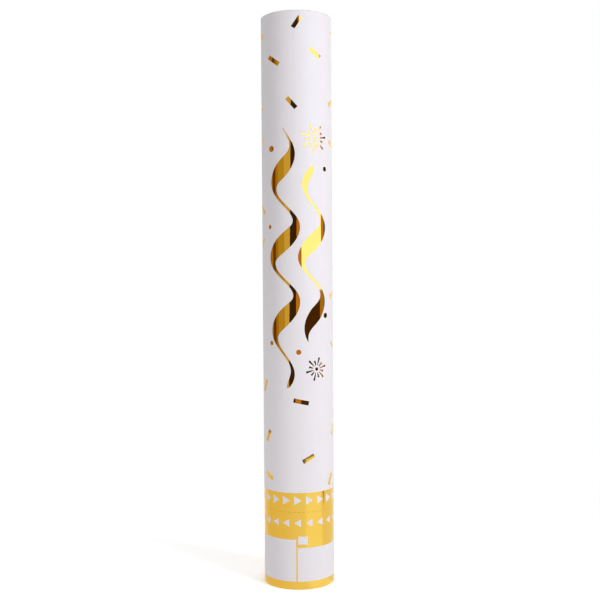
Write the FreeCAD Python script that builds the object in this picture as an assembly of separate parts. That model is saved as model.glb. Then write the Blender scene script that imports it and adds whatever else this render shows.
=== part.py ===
import FreeCAD, Part

"""Twist-release confetti popper: a paper-wrapped cardboard tube that stands on its grip.

The grip is the short lower tube. It holds a bottle of compressed air with a screw-out valve. The barrel is the
long upper tube. It turns on a plastic coupler that stands out of the grip, and a spider bonded inside it turns
the valve's plug. The plug's three lugs climb helical channels as the barrel turns, until the plug's seal leaves
its bore and the air drives the wads and the stacks of confetti out through the seal at the mouth.

Millimetres and degrees. Z runs up the popper's axis, and the origin is the centre of the face that it stands on.
"""

import math
import os

# --- Heights and lengths -------------------------------------------------------------------------------------
TOTAL_LENGTH = 400.0  # from the foot to the mouth
TWIST_LINE_HEIGHT = 54.0  # where the barrel turns on the grip
TWIST_GAP = 0.3  # between what stands on the grip and what turns on it

# --- Air bottle: its diameter sets every diameter around it ------------------------------------------------------
BOTTLE_DIAMETER = 38.0
BOTTLE_LENGTH = 92.0
BOTTLE_WALL = 1.0
BOTTLE_FOOT_CORNER = 3.5  # radius between the foot and the side
BOTTLE_DOME_HEIGHT = 4.0  # hollow of the foot
BOTTLE_SHOULDER_RADIUS = 12.0
FLAT_COUNT = 3  # flats along each curve of its outside
NECK_DIAMETER = 22.0
NECK_WALL = 2.0
NECK_LENGTH = 12.0
NECK_BEAD = 1.2  # how far the bead at the neck's mouth stands out
NECK_BEAD_HEIGHT = 2.5

# --- Fits ------------------------------------------------------------------------------------------------------
GLUE_LINE = 0.05  # between surfaces that are bonded or crimped
BEARING_CLEARANCE = 0.1  # barrel's bearing ring on the coupler
SEAT_CLEARANCE = 0.1  # bottle in the ribs that centre it
PIN_CLEARANCE = 0.02  # drive pin in the plug's stem, bung in the bottle
SEAL_CLEARANCE = 0.05  # plug's seal in its bore and in its groove
SLIDE_CLEARANCE = 0.15  # plug's hub, lugs, stem and pin in what they slide in
WAD_CLEARANCE = 0.3  # wads in the barrel
STACK_CLEARANCE = 0.6  # confetti in the barrel, and between two stacks

# --- Coupler and bearing ring ----------------------------------------------------------------------------------
SPIGOT_RIB = 0.4  # ribs inside the spigot
SPIGOT_WALL = 1.4
BEARING_WALL = 1.6
BEARING_LENGTH = 18.0
SKIRT_WALL = 1.6  # coupler's skirt, inside the grip
SKIRT_GAP = 10.0  # between the coupler's skirt and the base plug's
SHOULDER_THICKNESS = 4.0  # coupler's flange at the twist line
RIB_WIDTH = 1.2
SKIRT_RIBS = 12
FINGERS = 6  # snap fingers at the spigot's top
FINGER_SLOT = 2.0
FINGER_LENGTH = 10.0
HOOK_REACH = 0.9  # how far a finger's hook stands out
HOOK_HEIGHT = 2.4
HOOK_LIP = 0.8  # upright part of the hook, below its lead-in

# --- Twist stop: a lug on the bearing ring runs in a rebate of the coupler ---------------------------------------
TWIST_ANGLE = 90.0  # turn that frees the plug
STOP_LUG_ANGLE = 12.0
STOP_LUG_HEIGHT = 2.0
STOP_LUG_WIDTH = 1.0
STOP_CLEARANCE = 0.3
STOP_START_ANGLE = 40.0

# --- Tubes and paper -------------------------------------------------------------------------------------------
TUBE_WALL = 2.0
WRAP_THICKNESS = 0.3
WRAP_MARGIN = 0.2  # tube left bare at the foot and at the mouth
MOUTH_RECESS = 3.0  # seal's face below the barrel's rim
MOUTH_SEAL_THICKNESS = 0.3
MOUTH_SEAL_EDGE = 0.5  # seal's skirt stops this far below the rim

# --- Base plug -------------------------------------------------------------------------------------------------
BASE_RECESS = 1.5
BASE_FLOOR = 2.0
BASE_SKIRT_HEIGHT = 12.0
BASE_SKIRT_WALL = 1.5
BASE_RIBS = 12
BASE_BEAD = 0.7  # ribs and rings under the floor
BASE_BEAD_WIDTH = 1.2
BASE_BEAD_RIBS = 6
BASE_RING_RADIUS = 15.0
FILL_HOLE_RADIUS = 1.75
PAD_THICKNESS = 1.5
PAD_WIDTH = 6.0

# --- Charging bung ---------------------------------------------------------------------------------------------
BUNG_RADIUS = 2.5
BUNG_FLANGE = 1.8
BUNG_FLANGE_THICKNESS = 1.2
BUNG_HEAD = 2.2
BUNG_HEAD_THICKNESS = 2.4

# --- Valve -----------------------------------------------------------------------------------------------------
GASKET_THICKNESS = 1.0
VALVE_BORE_RADIUS = 6.0
VALVE_BORE_DEPTH = 12.0  # valve body's spigot, inside the neck
VALVE_FLANGE = 1.4
COLLAR_RADIUS = 11.0
CAVITY_RADIUS = 7.3
CAVITY_RISE = 2.5  # cavity's floor above the flange's foot
CRIMP_WALL = 0.6
LUG_REACH = 2.2
LUG_HEIGHT = 2.4
LUG_ANGLE = 20.0
LUGS = 3
SCREW_LEAD = 20.0  # climb per full turn
LUG_RISE = 2.0  # lugs above the cavity's floor
RELEASE_MARGIN = 0.15  # lugs clear the collar by this at the end of the turn
HUB_TOP = 0.6  # plug's hub above its lugs
SEAL_SECTION = 1.8
SEAL_EXIT = 1.1  # seal is this far out of its bore at the end of the turn
PISTON_LAND = 2.0  # piston below its seal's groove
STEM_RADIUS = 3.5
STEM_END = 4.0  # stem above the drive pin's middle
PIN_RADIUS = 1.0
PIN_HALF_LENGTH = 6.8

# --- Drive spider ----------------------------------------------------------------------------------------------
SPIDER_CLEARANCE = 1.2  # above the plug's hub when it is up
SPIDER_RIM_WALL = 1.6
SPIDER_HUB_WALL = 2.0  # hub outside the drive pin
SPOKES = 4
SPOKE_WIDTH = 2.5
SPOKE_HEIGHT = 7.0
SPIDER_HEADROOM = 2.0  # over the stem when it is up

# --- Payload ---------------------------------------------------------------------------------------------------
PUSHER_THICKNESS = 2.5
FOAM_THICKNESS = 10.0
TOP_DISC_THICKNESS = 1.5
SLIP_WIDTH = 17.0
SLIP_LENGTH = 50.0
LAYER_TURN = 45.0  # each layer of stacks is turned on the one below
MOUTH_ROOM = 50.0  # least free length between the confetti and the mouth's seal

# --- Radii, from the bottle outwards -----------------------------------------------------------------------------
bottle_radius = BOTTLE_DIAMETER / 2
rib_tip_radius = bottle_radius + SEAT_CLEARANCE
spigot_inside = rib_tip_radius + SPIGOT_RIB
spigot_outside = spigot_inside + SPIGOT_WALL
bearing_inside = spigot_outside + BEARING_CLEARANCE
bonded_radius = bearing_inside + BEARING_WALL  # outside of all that is glued into the tubes
tube_inside = bonded_radius + GLUE_LINE
tube_outside = tube_inside + TUBE_WALL
wrap_inside = tube_outside + GLUE_LINE
wrap_outside = wrap_inside + WRAP_THICKNESS
stop_outside = bonded_radius - STOP_CLEARANCE
stop_inside = stop_outside - STOP_LUG_WIDTH
neck_outside = NECK_DIAMETER / 2
neck_inside = neck_outside - NECK_WALL
bead_radius = neck_outside + NECK_BEAD
hub_radius = CAVITY_RADIUS - SLIDE_CLEARANCE
lug_radius = CAVITY_RADIUS + LUG_REACH

# --- Heights, from the foot upwards ------------------------------------------------------------------------------
grip_top = TWIST_LINE_HEIGHT - TWIST_GAP / 2
barrel_foot = TWIST_LINE_HEIGHT + TWIST_GAP / 2
bearing_top = barrel_foot + BEARING_LENGTH
hook_foot = bearing_top + TWIST_GAP
hook_top = hook_foot + HOOK_HEIGHT
floor_top = BASE_RECESS + BASE_FLOOR
base_plug_top = BASE_RECESS + BASE_SKIRT_HEIGHT
bottle_foot = floor_top + PAD_THICKNESS
neck_top = bottle_foot + BOTTLE_LENGTH
flange_foot = neck_top + GASKET_THICKNESS
flange_top = flange_foot + VALVE_FLANGE
cavity_floor = flange_foot + CAVITY_RISE
lug_foot = cavity_floor + LUG_RISE
lug_slope = SCREW_LEAD * LUG_ANGLE / 2 / 360  # a lug's ends lie this far above and below its middle
plug_travel = SCREW_LEAD * TWIST_ANGLE / 360
collar_top = lug_foot - lug_slope + plug_travel - RELEASE_MARGIN
hub_top = lug_foot + LUG_HEIGHT + lug_slope + HUB_TOP
seal_height = cavity_floor + SEAL_EXIT + SEAL_SECTION / 2 - plug_travel
spider_foot = max(collar_top, hub_top + plug_travel) + SPIDER_CLEARANCE
pin_slot_foot = spider_foot + PIN_RADIUS
pin_height = pin_slot_foot + PIN_RADIUS + SLIDE_CLEARANCE
stem_top = pin_height + STEM_END
spider_hub_top = pin_height + plug_travel + PIN_RADIUS + SLIDE_CLEARANCE
spider_top = stem_top + plug_travel + SPIDER_HEADROOM
pusher_top = spider_top + PUSHER_THICKNESS
foam_top = pusher_top + FOAM_THICKNESS
mouth_seal_foot = TOTAL_LENGTH - MOUTH_RECESS - MOUTH_SEAL_THICKNESS
layers = int((mouth_seal_foot - MOUTH_ROOM - TOP_DISC_THICKNESS - foam_top) // SLIP_LENGTH)
stacks_top = foam_top + layers * SLIP_LENGTH
payload_top = stacks_top + TOP_DISC_THICKNESS
payload_travel = mouth_seal_foot - payload_top

CENTRE = FreeCAD.Vector(0, 0, 0)
UP = FreeCAD.Vector(0, 0, 1)
ACROSS = FreeCAD.Vector(1, 0, 0)


def point(radius, height):
    """Point of a profile, in the plane y = 0."""
    return FreeCAD.Vector(radius, 0, height)


def polygon(corners):
    """Closed wire through (radius, height) pairs."""
    points = [point(*corner) for corner in corners]
    return Part.makePolygon(points + points[:1])


def rectangle(inside, outside, foot, top):
    """Closed wire of a rectangular section."""
    return polygon([(inside, foot), (outside, foot), (outside, top), (inside, top)])


def lathe(wire, sweep=360.0):
    """Solid of revolution of a closed profile."""
    return Part.Face(wire).revolve(CENTRE, UP, sweep)


def disc(radius, foot, top):
    """Solid disc about the axis."""
    return Part.makeCylinder(radius, top - foot, point(0, foot))


def ring(inside, outside, foot, top):
    """Tube about the axis."""
    return disc(outside, foot, top).cut(disc(inside, foot, top))


def turned(shape, angle):
    """Copy of a shape, turned about the axis."""
    copy = shape.copy()
    copy.rotate(CENTRE, UP, angle)
    return copy


def around(shape, count, start=0.0):
    """Copies of a shape, evenly spaced about the axis."""
    return [turned(shape, start + 360 * index / count) for index in range(count)]


def sector(inside, outside, foot, top, start, sweep):
    """Part of a tube, from the angle start through sweep degrees anticlockwise."""
    return turned(lathe(rectangle(inside, outside, foot, top), sweep), start)


def bar(start, end, width, foot, top):
    """Straight bar along +X, centred on the plane y = 0."""
    return Part.makeBox(end - start, width, top - foot, FreeCAD.Vector(start, -width / 2, foot))


def cross_bar(radius, half_length, height):
    """Round bar along X, centred on the axis."""
    return Part.makeCylinder(radius, 2 * half_length, point(-half_length, height), ACROSS)


def joined(shapes):
    """One solid from shapes that overlap or touch."""
    return shapes[0].multiFuse(shapes[1:]).removeSplitter()


def screw_sweep(section, start, end):
    """Section carried along the plug's right-handed screw, between two angles, as high as drawn at angle 0."""
    climb = SCREW_LEAD * (end - start) / 360
    helix = Part.makeHelix(SCREW_LEAD, climb, CAVITY_RADIUS)
    sweep = Part.Wire(helix).makePipeShell([section], True, True)
    sweep.translate(point(0, SCREW_LEAD * start / 360))
    return turned(sweep, start)


# --- Grip ------------------------------------------------------------------------------------------------------
def grip_tube():
    """Short cardboard tube that the popper stands on."""
    return ring(tube_inside, tube_outside, 0, grip_top)


def grip_wrap():
    """Foil paper round the grip."""
    return ring(wrap_inside, wrap_outside, WRAP_MARGIN, grip_top)


def base_plug():
    """Moulded plug in the grip's foot, with a ribbed face and ribs that centre the bottle."""
    skirt_inside = bonded_radius - BASE_SKIRT_WALL
    shell = lathe(polygon([
        (FILL_HOLE_RADIUS, BASE_RECESS),
        (bonded_radius - BASE_BEAD, BASE_RECESS),
        (bonded_radius, BASE_RECESS + BASE_BEAD),
        (bonded_radius, base_plug_top),
        (skirt_inside, base_plug_top),
        (skirt_inside, floor_top),
        (FILL_HOLE_RADIUS, floor_top),
    ]))
    bead_foot = BASE_RECESS - BASE_BEAD
    hole_bead = ring(FILL_HOLE_RADIUS, FILL_HOLE_RADIUS + BASE_BEAD_WIDTH, bead_foot, BASE_RECESS)
    outer_bead = ring(BASE_RING_RADIUS, BASE_RING_RADIUS + BASE_BEAD_WIDTH, bead_foot, BASE_RECESS)
    rib_start = FILL_HOLE_RADIUS + BASE_BEAD_WIDTH / 2
    rib_end = BASE_RING_RADIUS + BASE_BEAD_WIDTH / 2
    bead_rib = bar(rib_start, rib_end, BASE_BEAD_WIDTH, bead_foot, BASE_RECESS)
    seat_rib = bar(rib_tip_radius, skirt_inside + BASE_SKIRT_WALL / 2, RIB_WIDTH, floor_top, base_plug_top)
    ribs = around(bead_rib, BASE_BEAD_RIBS) + around(seat_rib, BASE_RIBS)
    return joined([shell, hole_bead, outer_bead] + ribs)


def bottle_pad():
    """Foam ring between the base plug's floor and the bottle's foot."""
    outside = bottle_radius - BOTTLE_FOOT_CORNER / 2
    return ring(outside - PAD_WIDTH, outside, floor_top, bottle_foot)


def rounded(centre_radius, centre_height, radius, start, end, flats):
    """Profile points of an arc of so many flats, from the angle start to the angle end above the horizontal."""
    angles = [math.radians(start + (end - start) * step / flats) for step in range(flats + 1)]
    return [(centre_radius + radius * math.cos(a), centre_height + radius * math.sin(a)) for a in angles]


def bottle_form(inset, neck_radius, flats):
    """The bottle's outside, or with an inset its hollow: domed foot, rounded corner, shoulder and neck."""
    foot_radius = bottle_radius - BOTTLE_FOOT_CORNER
    dome_radius = (foot_radius**2 + BOTTLE_DOME_HEIGHT**2) / (2 * BOTTLE_DOME_HEIGHT)
    dome_centre = bottle_foot + inset + BOTTLE_DOME_HEIGHT - dome_radius
    dome_angle = math.degrees(math.acos(foot_radius / dome_radius))
    shoulder_centre = bottle_radius - BOTTLE_SHOULDER_RADIUS
    neck_turn = math.acos((neck_outside - shoulder_centre) / BOTTLE_SHOULDER_RADIUS)
    shoulder_foot = neck_top - NECK_LENGTH - BOTTLE_SHOULDER_RADIUS * math.sin(neck_turn)
    shoulder_radius = BOTTLE_SHOULDER_RADIUS - inset
    shoulder_turn = math.degrees(math.acos((neck_radius - shoulder_centre) / shoulder_radius))
    corner_height = bottle_foot + BOTTLE_FOOT_CORNER
    dome = rounded(0, dome_centre, dome_radius, 90, dome_angle, flats)
    corner = rounded(foot_radius, corner_height, BOTTLE_FOOT_CORNER - inset, -90, 0, flats)
    shoulder = rounded(shoulder_centre, shoulder_foot, shoulder_radius, 0, shoulder_turn, flats)
    return lathe(polygon(dome + corner[1:] + shoulder + [(neck_radius, neck_top), (0, neck_top)]))


def gas_bottle():
    """Aluminium bottle with a hollow foot, a rounded shoulder and a beaded neck."""
    bead = disc(bead_radius, neck_top - NECK_BEAD_HEIGHT, neck_top)
    hollow = bottle_form(BOTTLE_WALL, neck_inside, 1)
    fill_hole = disc(BUNG_RADIUS + PIN_CLEARANCE, bottle_foot, bottle_foot + BOTTLE_DOME_HEIGHT + 2 * BOTTLE_WALL)
    return bottle_form(0, neck_outside, FLAT_COUNT).fuse(bead).cut(hollow).cut(fill_hole)


def fill_bung():
    """Rubber bung in the bottle's foot, through which it is charged."""
    flange_radius = BUNG_RADIUS + BUNG_FLANGE
    dome_drop = BOTTLE_DOME_HEIGHT * (flange_radius / (bottle_radius - BOTTLE_FOOT_CORNER)) ** 2
    flange_height = bottle_foot + BOTTLE_DOME_HEIGHT - dome_drop - PIN_CLEARANCE
    head_foot = bottle_foot + BOTTLE_DOME_HEIGHT + BOTTLE_WALL + PIN_CLEARANCE
    head_top = head_foot + BUNG_HEAD_THICKNESS
    return lathe(polygon([
        (0, flange_height - BUNG_FLANGE_THICKNESS),
        (flange_radius, flange_height - BUNG_FLANGE_THICKNESS),
        (flange_radius, flange_height),
        (BUNG_RADIUS, flange_height),
        (BUNG_RADIUS, head_foot),
        (BUNG_RADIUS + BUNG_HEAD, head_foot),
        (BUNG_RADIUS + BUNG_HEAD / 2, head_top),
        (0, head_top),
    ]))


def coupler():
    """Moulded sleeve in the grip, whose spigot carries the barrel and holds it down with snap hooks."""
    shoulder_foot = grip_top - SHOULDER_THICKNESS
    skirt_foot = base_plug_top + SKIRT_GAP
    skirt_inside = bonded_radius - SKIRT_WALL
    spigot_middle = spigot_inside + SPIGOT_WALL / 2
    skirt = ring(skirt_inside, bonded_radius, skirt_foot, shoulder_foot)
    shoulder = ring(spigot_inside, bonded_radius, shoulder_foot, grip_top)
    spigot = ring(spigot_inside, spigot_outside, shoulder_foot, hook_top)
    hooks = lathe(polygon([
        (spigot_middle, hook_foot),
        (spigot_outside + HOOK_REACH, hook_foot),
        (spigot_outside + HOOK_REACH, hook_foot + HOOK_LIP),
        (spigot_outside, hook_top),
        (spigot_middle, hook_top),
    ]))
    skirt_rib = bar(rib_tip_radius, skirt_inside + SKIRT_WALL / 2, RIB_WIDTH, skirt_foot, shoulder_foot)
    spigot_rib = bar(rib_tip_radius, spigot_middle, RIB_WIDTH, shoulder_foot, hook_foot)
    ribs = around(skirt_rib, SKIRT_RIBS) + around(spigot_rib, FINGERS)
    slot = bar(rib_tip_radius, spigot_outside + 2 * HOOK_REACH, FINGER_SLOT, hook_top - FINGER_LENGTH, hook_top)
    end_clearance = math.degrees(STOP_CLEARANCE / stop_inside)
    rebate = sector(
        stop_inside - STOP_CLEARANCE,
        bonded_radius + STOP_CLEARANCE,
        grip_top - STOP_LUG_HEIGHT,
        grip_top,
        STOP_START_ANGLE - end_clearance,
        TWIST_ANGLE + STOP_LUG_ANGLE + 2 * end_clearance,
    )
    cuts = around(slot, FINGERS, 180 / FINGERS) + [rebate]
    return joined([skirt, shoulder, spigot, hooks] + ribs).cut(Part.makeCompound(cuts))


def neck_gasket():
    """Flat rubber washer on the bottle's neck."""
    return ring(neck_inside, bead_radius, neck_top, flange_foot)


def valve_body():
    """Brass valve seat in the neck: a bore for the plug's seal, under a collar with helical lug channels."""
    spigot_radius = neck_inside - GLUE_LINE
    body = lathe(polygon([
        (VALVE_BORE_RADIUS, neck_top - VALVE_BORE_DEPTH),
        (spigot_radius, neck_top - VALVE_BORE_DEPTH),
        (spigot_radius, flange_foot),
        (bead_radius, flange_foot),
        (bead_radius, flange_top),
        (COLLAR_RADIUS, flange_top),
        (COLLAR_RADIUS, collar_top),
        (CAVITY_RADIUS, collar_top),
        (CAVITY_RADIUS, cavity_floor),
        (VALVE_BORE_RADIUS, cavity_floor),
    ]))
    section = rectangle(
        hub_radius,
        lug_radius + SLIDE_CLEARANCE,
        lug_foot - SLIDE_CLEARANCE,
        lug_foot + LUG_HEIGHT + SLIDE_CLEARANCE,
    )
    end_clearance = math.degrees(SLIDE_CLEARANCE / CAVITY_RADIUS)
    channel = screw_sweep(section, -LUG_ANGLE / 2 - end_clearance, TWIST_ANGLE + LUG_ANGLE)
    return body.cut(Part.makeCompound(around(channel, LUGS)))


def crimp_ring():
    """Aluminium ring rolled over the valve body's flange and under the neck's bead."""
    inside = bead_radius + GLUE_LINE
    outside = inside + CRIMP_WALL
    lower_lip = neck_top - NECK_BEAD_HEIGHT - GLUE_LINE
    upper_lip = flange_top + GLUE_LINE
    lip_inside = COLLAR_RADIUS + GLUE_LINE
    return lathe(polygon([
        (neck_outside + GLUE_LINE, lower_lip - CRIMP_WALL),
        (outside, lower_lip - CRIMP_WALL),
        (outside, upper_lip + CRIMP_WALL),
        (lip_inside, upper_lip + CRIMP_WALL),
        (lip_inside, upper_lip),
        (inside, upper_lip),
        (inside, lower_lip),
        (neck_outside + GLUE_LINE, lower_lip),
    ]))


# --- Barrel ----------------------------------------------------------------------------------------------------
def barrel_tube():
    """Long cardboard tube."""
    return ring(tube_inside, tube_outside, barrel_foot, TOTAL_LENGTH)


def barrel_wrap():
    """Printed paper round the barrel."""
    return ring(wrap_inside, wrap_outside, barrel_foot, TOTAL_LENGTH - WRAP_MARGIN)


def bearing_ring():
    """Plastic ring bonded into the barrel's foot, with the lug that stops the twist."""
    lug_end = grip_top - STOP_LUG_HEIGHT + TWIST_GAP
    lug = sector(stop_inside, stop_outside, lug_end, barrel_foot, STOP_START_ANGLE, STOP_LUG_ANGLE)
    return joined([ring(bearing_inside, bonded_radius, barrel_foot, bearing_top), lug])


def drive_spider():
    """Spoked ring bonded into the barrel, whose slotted hub turns the plug and lets it rise."""
    rim_inside = bonded_radius - SPIDER_RIM_WALL
    slot_end = PIN_HALF_LENGTH + SLIDE_CLEARANCE
    spider_hub_radius = slot_end + SPIDER_HUB_WALL
    rim = ring(rim_inside, bonded_radius, spider_foot, spider_top)
    hub = disc(spider_hub_radius, spider_foot, spider_hub_top)
    spoke_end = rim_inside + SPIDER_RIM_WALL / 2
    spoke = bar(spider_hub_radius / 2, spoke_end, SPOKE_WIDTH, spider_foot, spider_foot + SPOKE_HEIGHT)
    stem_hole = disc(STEM_RADIUS + SLIDE_CLEARANCE, spider_foot, spider_hub_top)
    slot_width = 2 * (PIN_RADIUS + SLIDE_CLEARANCE)
    pin_slot = bar(-slot_end, slot_end, slot_width, pin_slot_foot, spider_hub_top)
    return joined([rim, hub] + around(spoke, SPOKES, 180 / SPOKES)).cut(stem_hole).cut(pin_slot)


def mouth_seal():
    """Foil-faced paper cup bonded into the barrel's mouth, which bursts when the popper fires."""
    face = disc(bonded_radius, mouth_seal_foot, mouth_seal_foot + MOUTH_SEAL_THICKNESS)
    skirt_inside = bonded_radius - MOUTH_SEAL_THICKNESS
    return joined([face, ring(skirt_inside, bonded_radius, mouth_seal_foot, TOTAL_LENGTH - MOUTH_SEAL_EDGE)])


# --- Valve plug ------------------------------------------------------------------------------------------------
def valve_plug():
    """Plug with a grooved piston, a hub with three helical lugs, and a stem that the spider turns."""
    piston_radius = VALVE_BORE_RADIUS - SLIDE_CLEARANCE
    groove_radius = VALVE_BORE_RADIUS - SEAL_SECTION - 2 * SEAL_CLEARANCE
    groove_foot = seal_height - SEAL_SECTION / 2 - SEAL_CLEARANCE
    groove_top = seal_height + SEAL_SECTION / 2 + SEAL_CLEARANCE
    piston_foot = groove_foot - PISTON_LAND
    hub_foot = cavity_floor + SLIDE_CLEARANCE
    chamfer = PIN_RADIUS
    body = lathe(polygon([
        (0, piston_foot),
        (piston_radius, piston_foot),
        (piston_radius, groove_foot),
        (groove_radius, groove_foot),
        (groove_radius, groove_top),
        (piston_radius, groove_top),
        (piston_radius, hub_foot),
        (hub_radius, hub_foot),
        (hub_radius, hub_top),
        (STEM_RADIUS, hub_top),
        (STEM_RADIUS, stem_top - chamfer),
        (STEM_RADIUS - chamfer, stem_top),
        (0, stem_top),
    ]))
    section = rectangle(STEM_RADIUS, lug_radius, lug_foot, lug_foot + LUG_HEIGHT)
    lug = screw_sweep(section, -LUG_ANGLE / 2, LUG_ANGLE / 2)
    pin_hole = cross_bar(PIN_RADIUS + PIN_CLEARANCE, STEM_RADIUS, pin_height)
    return body.multiFuse(around(lug, LUGS)).cut(pin_hole)


def plug_seal():
    """Square-cut rubber ring in the piston's groove."""
    outside = VALVE_BORE_RADIUS - SEAL_CLEARANCE
    half_section = SEAL_SECTION / 2
    return ring(outside - SEAL_SECTION, outside, seal_height - half_section, seal_height + half_section)


def drive_pin():
    """Steel cross pin that the spider turns."""
    return cross_bar(PIN_RADIUS, PIN_HALF_LENGTH, pin_height)


# --- Payload ---------------------------------------------------------------------------------------------------
def pusher_disc():
    """Grey board disc that lies on the spider."""
    return disc(tube_inside - WAD_CLEARANCE, spider_top, pusher_top)


def foam_wad():
    """Foam disc that spreads the push over the confetti."""
    return disc(tube_inside - WAD_CLEARANCE, pusher_top, foam_top)


def confetti_stacks():
    """Layers of four stacks of foil slips: two deep ones back to back, and a thin one at each side."""
    room = tube_inside - STACK_CLEARANCE
    half_width = SLIP_WIDTH / 2
    corner_reach = math.sqrt(room**2 - half_width**2)
    deep_start = STACK_CLEARANCE / 2
    side_start = half_width + STACK_CLEARANCE
    deep = bar(deep_start, corner_reach, SLIP_WIDTH, foam_top, foam_top + SLIP_LENGTH)
    side = bar(side_start, corner_reach, SLIP_WIDTH, foam_top, foam_top + SLIP_LENGTH)
    stacks = []
    for layer in range(layers):
        start = layer * LAYER_TURN
        for stack in around(deep, 2, start) + around(side, 2, start + 90):
            stack.translate(point(0, layer * SLIP_LENGTH))
            stacks.append(stack)
    return Part.makeCompound(stacks)


def top_disc():
    """Tissue disc that keeps the stacks together."""
    return disc(tube_inside - WAD_CLEARANCE, stacks_top, payload_top)


GRIP = [
    grip_tube, grip_wrap, base_plug, bottle_pad, gas_bottle, fill_bung, coupler, neck_gasket, valve_body,
    crimp_ring,
]
BARREL = [barrel_tube, barrel_wrap, bearing_ring, drive_spider, mouth_seal]
PLUG = [valve_plug, plug_seal, drive_pin]
PAYLOAD = [pusher_disc, foam_wad, confetti_stacks, top_disc]


def main():
    os.makedirs("parts", exist_ok=True)
    for piece in GRIP + BARREL + PLUG + PAYLOAD:
        shape = piece()
        assert shape.Solids and shape.isValid(), piece.__name__
        shape.exportStep(f"parts/{piece.__name__}.step")
        print(f"{piece.__name__:16s} solids {len(shape.Solids):2d}  volume {shape.Volume / 1000:8.2f} cm3")
    print(f"outside diameter {2 * wrap_outside:.2f}, barrel bore {2 * tube_inside:.2f}")
    print(f"plug rises {plug_travel:.3f}, or {SCREW_LEAD / (2 * math.pi):.4f} per radian of twist")
    print(f"payload from {spider_top:.2f} to {payload_top:.2f}, and {payload_travel:.2f} free above it")


main()
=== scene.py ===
"""Looks of a twist-to-fire confetti popper: printed wraps, foil, cardboard and the works inside, in a plain studio."""
import logging
import math
from collections.abc import Callable, Iterable, Iterator
from contextlib import contextmanager
from dataclasses import dataclass, field
from enum import Enum
from functools import cache
from random import Random

import bmesh
import bpy
from mathutils import Euler, Matrix, Vector


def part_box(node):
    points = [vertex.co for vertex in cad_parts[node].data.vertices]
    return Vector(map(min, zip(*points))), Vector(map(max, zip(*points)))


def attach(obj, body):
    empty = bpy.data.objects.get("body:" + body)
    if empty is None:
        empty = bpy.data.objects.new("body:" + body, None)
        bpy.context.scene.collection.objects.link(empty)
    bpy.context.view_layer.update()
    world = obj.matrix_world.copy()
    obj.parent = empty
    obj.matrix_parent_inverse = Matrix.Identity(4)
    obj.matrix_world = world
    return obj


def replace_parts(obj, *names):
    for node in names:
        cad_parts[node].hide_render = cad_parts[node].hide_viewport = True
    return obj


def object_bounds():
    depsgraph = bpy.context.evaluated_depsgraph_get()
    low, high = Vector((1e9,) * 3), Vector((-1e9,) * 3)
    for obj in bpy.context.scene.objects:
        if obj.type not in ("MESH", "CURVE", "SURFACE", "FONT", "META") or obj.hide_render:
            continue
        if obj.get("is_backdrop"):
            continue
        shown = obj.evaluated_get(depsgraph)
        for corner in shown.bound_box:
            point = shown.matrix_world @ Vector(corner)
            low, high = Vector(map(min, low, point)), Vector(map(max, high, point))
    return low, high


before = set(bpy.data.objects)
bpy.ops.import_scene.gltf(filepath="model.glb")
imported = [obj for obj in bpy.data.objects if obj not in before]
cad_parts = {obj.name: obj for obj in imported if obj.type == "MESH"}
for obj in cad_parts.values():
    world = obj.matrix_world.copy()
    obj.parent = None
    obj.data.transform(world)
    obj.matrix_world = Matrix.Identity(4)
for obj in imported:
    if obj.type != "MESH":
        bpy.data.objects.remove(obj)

CAD_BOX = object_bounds()
MM = 0.001
TURN = 2 * math.pi
FLATS = 288  # round a wrap, so that a print and its paper share them
FLAT_ANGLE = TURN / FLATS
NEAR = 1e-7  # metres within which two points are one
UP = Vector((0, 0, 1))
RIGHT = Vector((1, 0, 0))
CREASE_AZIMUTH = 43.2  # where the foil band is creased, in degrees from the front to the right

MIX_COLOURS = (6, 7)  # the inputs of a Mix node that take its colours
MIX_RESULT = 2  # and the output that gives the mixed one

Colour = tuple[float, float, float]
Piece = bpy.types.Object
Tree = bpy.types.NodeTree
Socket = bpy.types.NodeSocket
log = logging.getLogger("popper")


class Pick(Enum):
    """What a selection in edit mode is made of."""

    VERTICES = "VERT"
    EDGES = "EDGE"
    FACES = "FACE"


# --- Bench: modelling steps, each on one piece ---
def take(piece: Piece) -> Piece:
    """Selects one piece alone and makes it active.

    Args:
        piece: the object to work on.

    Returns:
        The same object.
    """
    bpy.ops.object.select_all(action="DESELECT")
    piece.select_set(True)
    bpy.context.view_layer.objects.active = piece
    return piece


@contextmanager
def editing(piece: Piece, pick: Pick = Pick.VERTICES) -> Iterator[None]:
    """Holds a piece in edit mode with nothing of it selected.

    Args:
        piece: the object to edit.
        pick: what selections are made of.

    Returns:
        The context of a with statement.
    """
    take(piece)
    bpy.ops.object.mode_set(mode="EDIT")
    bpy.ops.mesh.select_mode(type=pick.value)
    bpy.ops.mesh.select_all(action="DESELECT")
    yield
    bpy.ops.object.mode_set(mode="OBJECT")


def select_where(piece: Piece, pick: Pick, test: Callable[[Vector], bool]) -> None:
    """Selects the edges or faces of an edited mesh whose middle passes a test.

    Args:
        piece: the object in edit mode.
        pick: whether edges or faces are tested.
        test: says whether the one with this middle is wanted.
    """
    form = bmesh.from_edit_mesh(piece.data)
    for part in form.edges if pick is Pick.EDGES else form.faces:
        middle = sum((corner.co for corner in part.verts), Vector()) / len(part.verts)
        part.select_set(test(middle))
    form.select_flush_mode()
    bmesh.update_edit_mesh(piece.data)


def sort_faces(piece: Piece) -> None:
    """Puts an edited mesh's faces in the order of their corners, because extruded edges give theirs in any order.

    Args:
        piece: the object in edit mode.
    """
    form = bmesh.from_edit_mesh(piece.data)
    form.verts.index_update()
    count = len(form.verts)
    form.faces.sort(
        key=lambda face: sum(
            index / count**place for place, index in enumerate(sorted(corner.index for corner in face.verts))
        )
    )
    bmesh.update_edit_mesh(piece.data)


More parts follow.
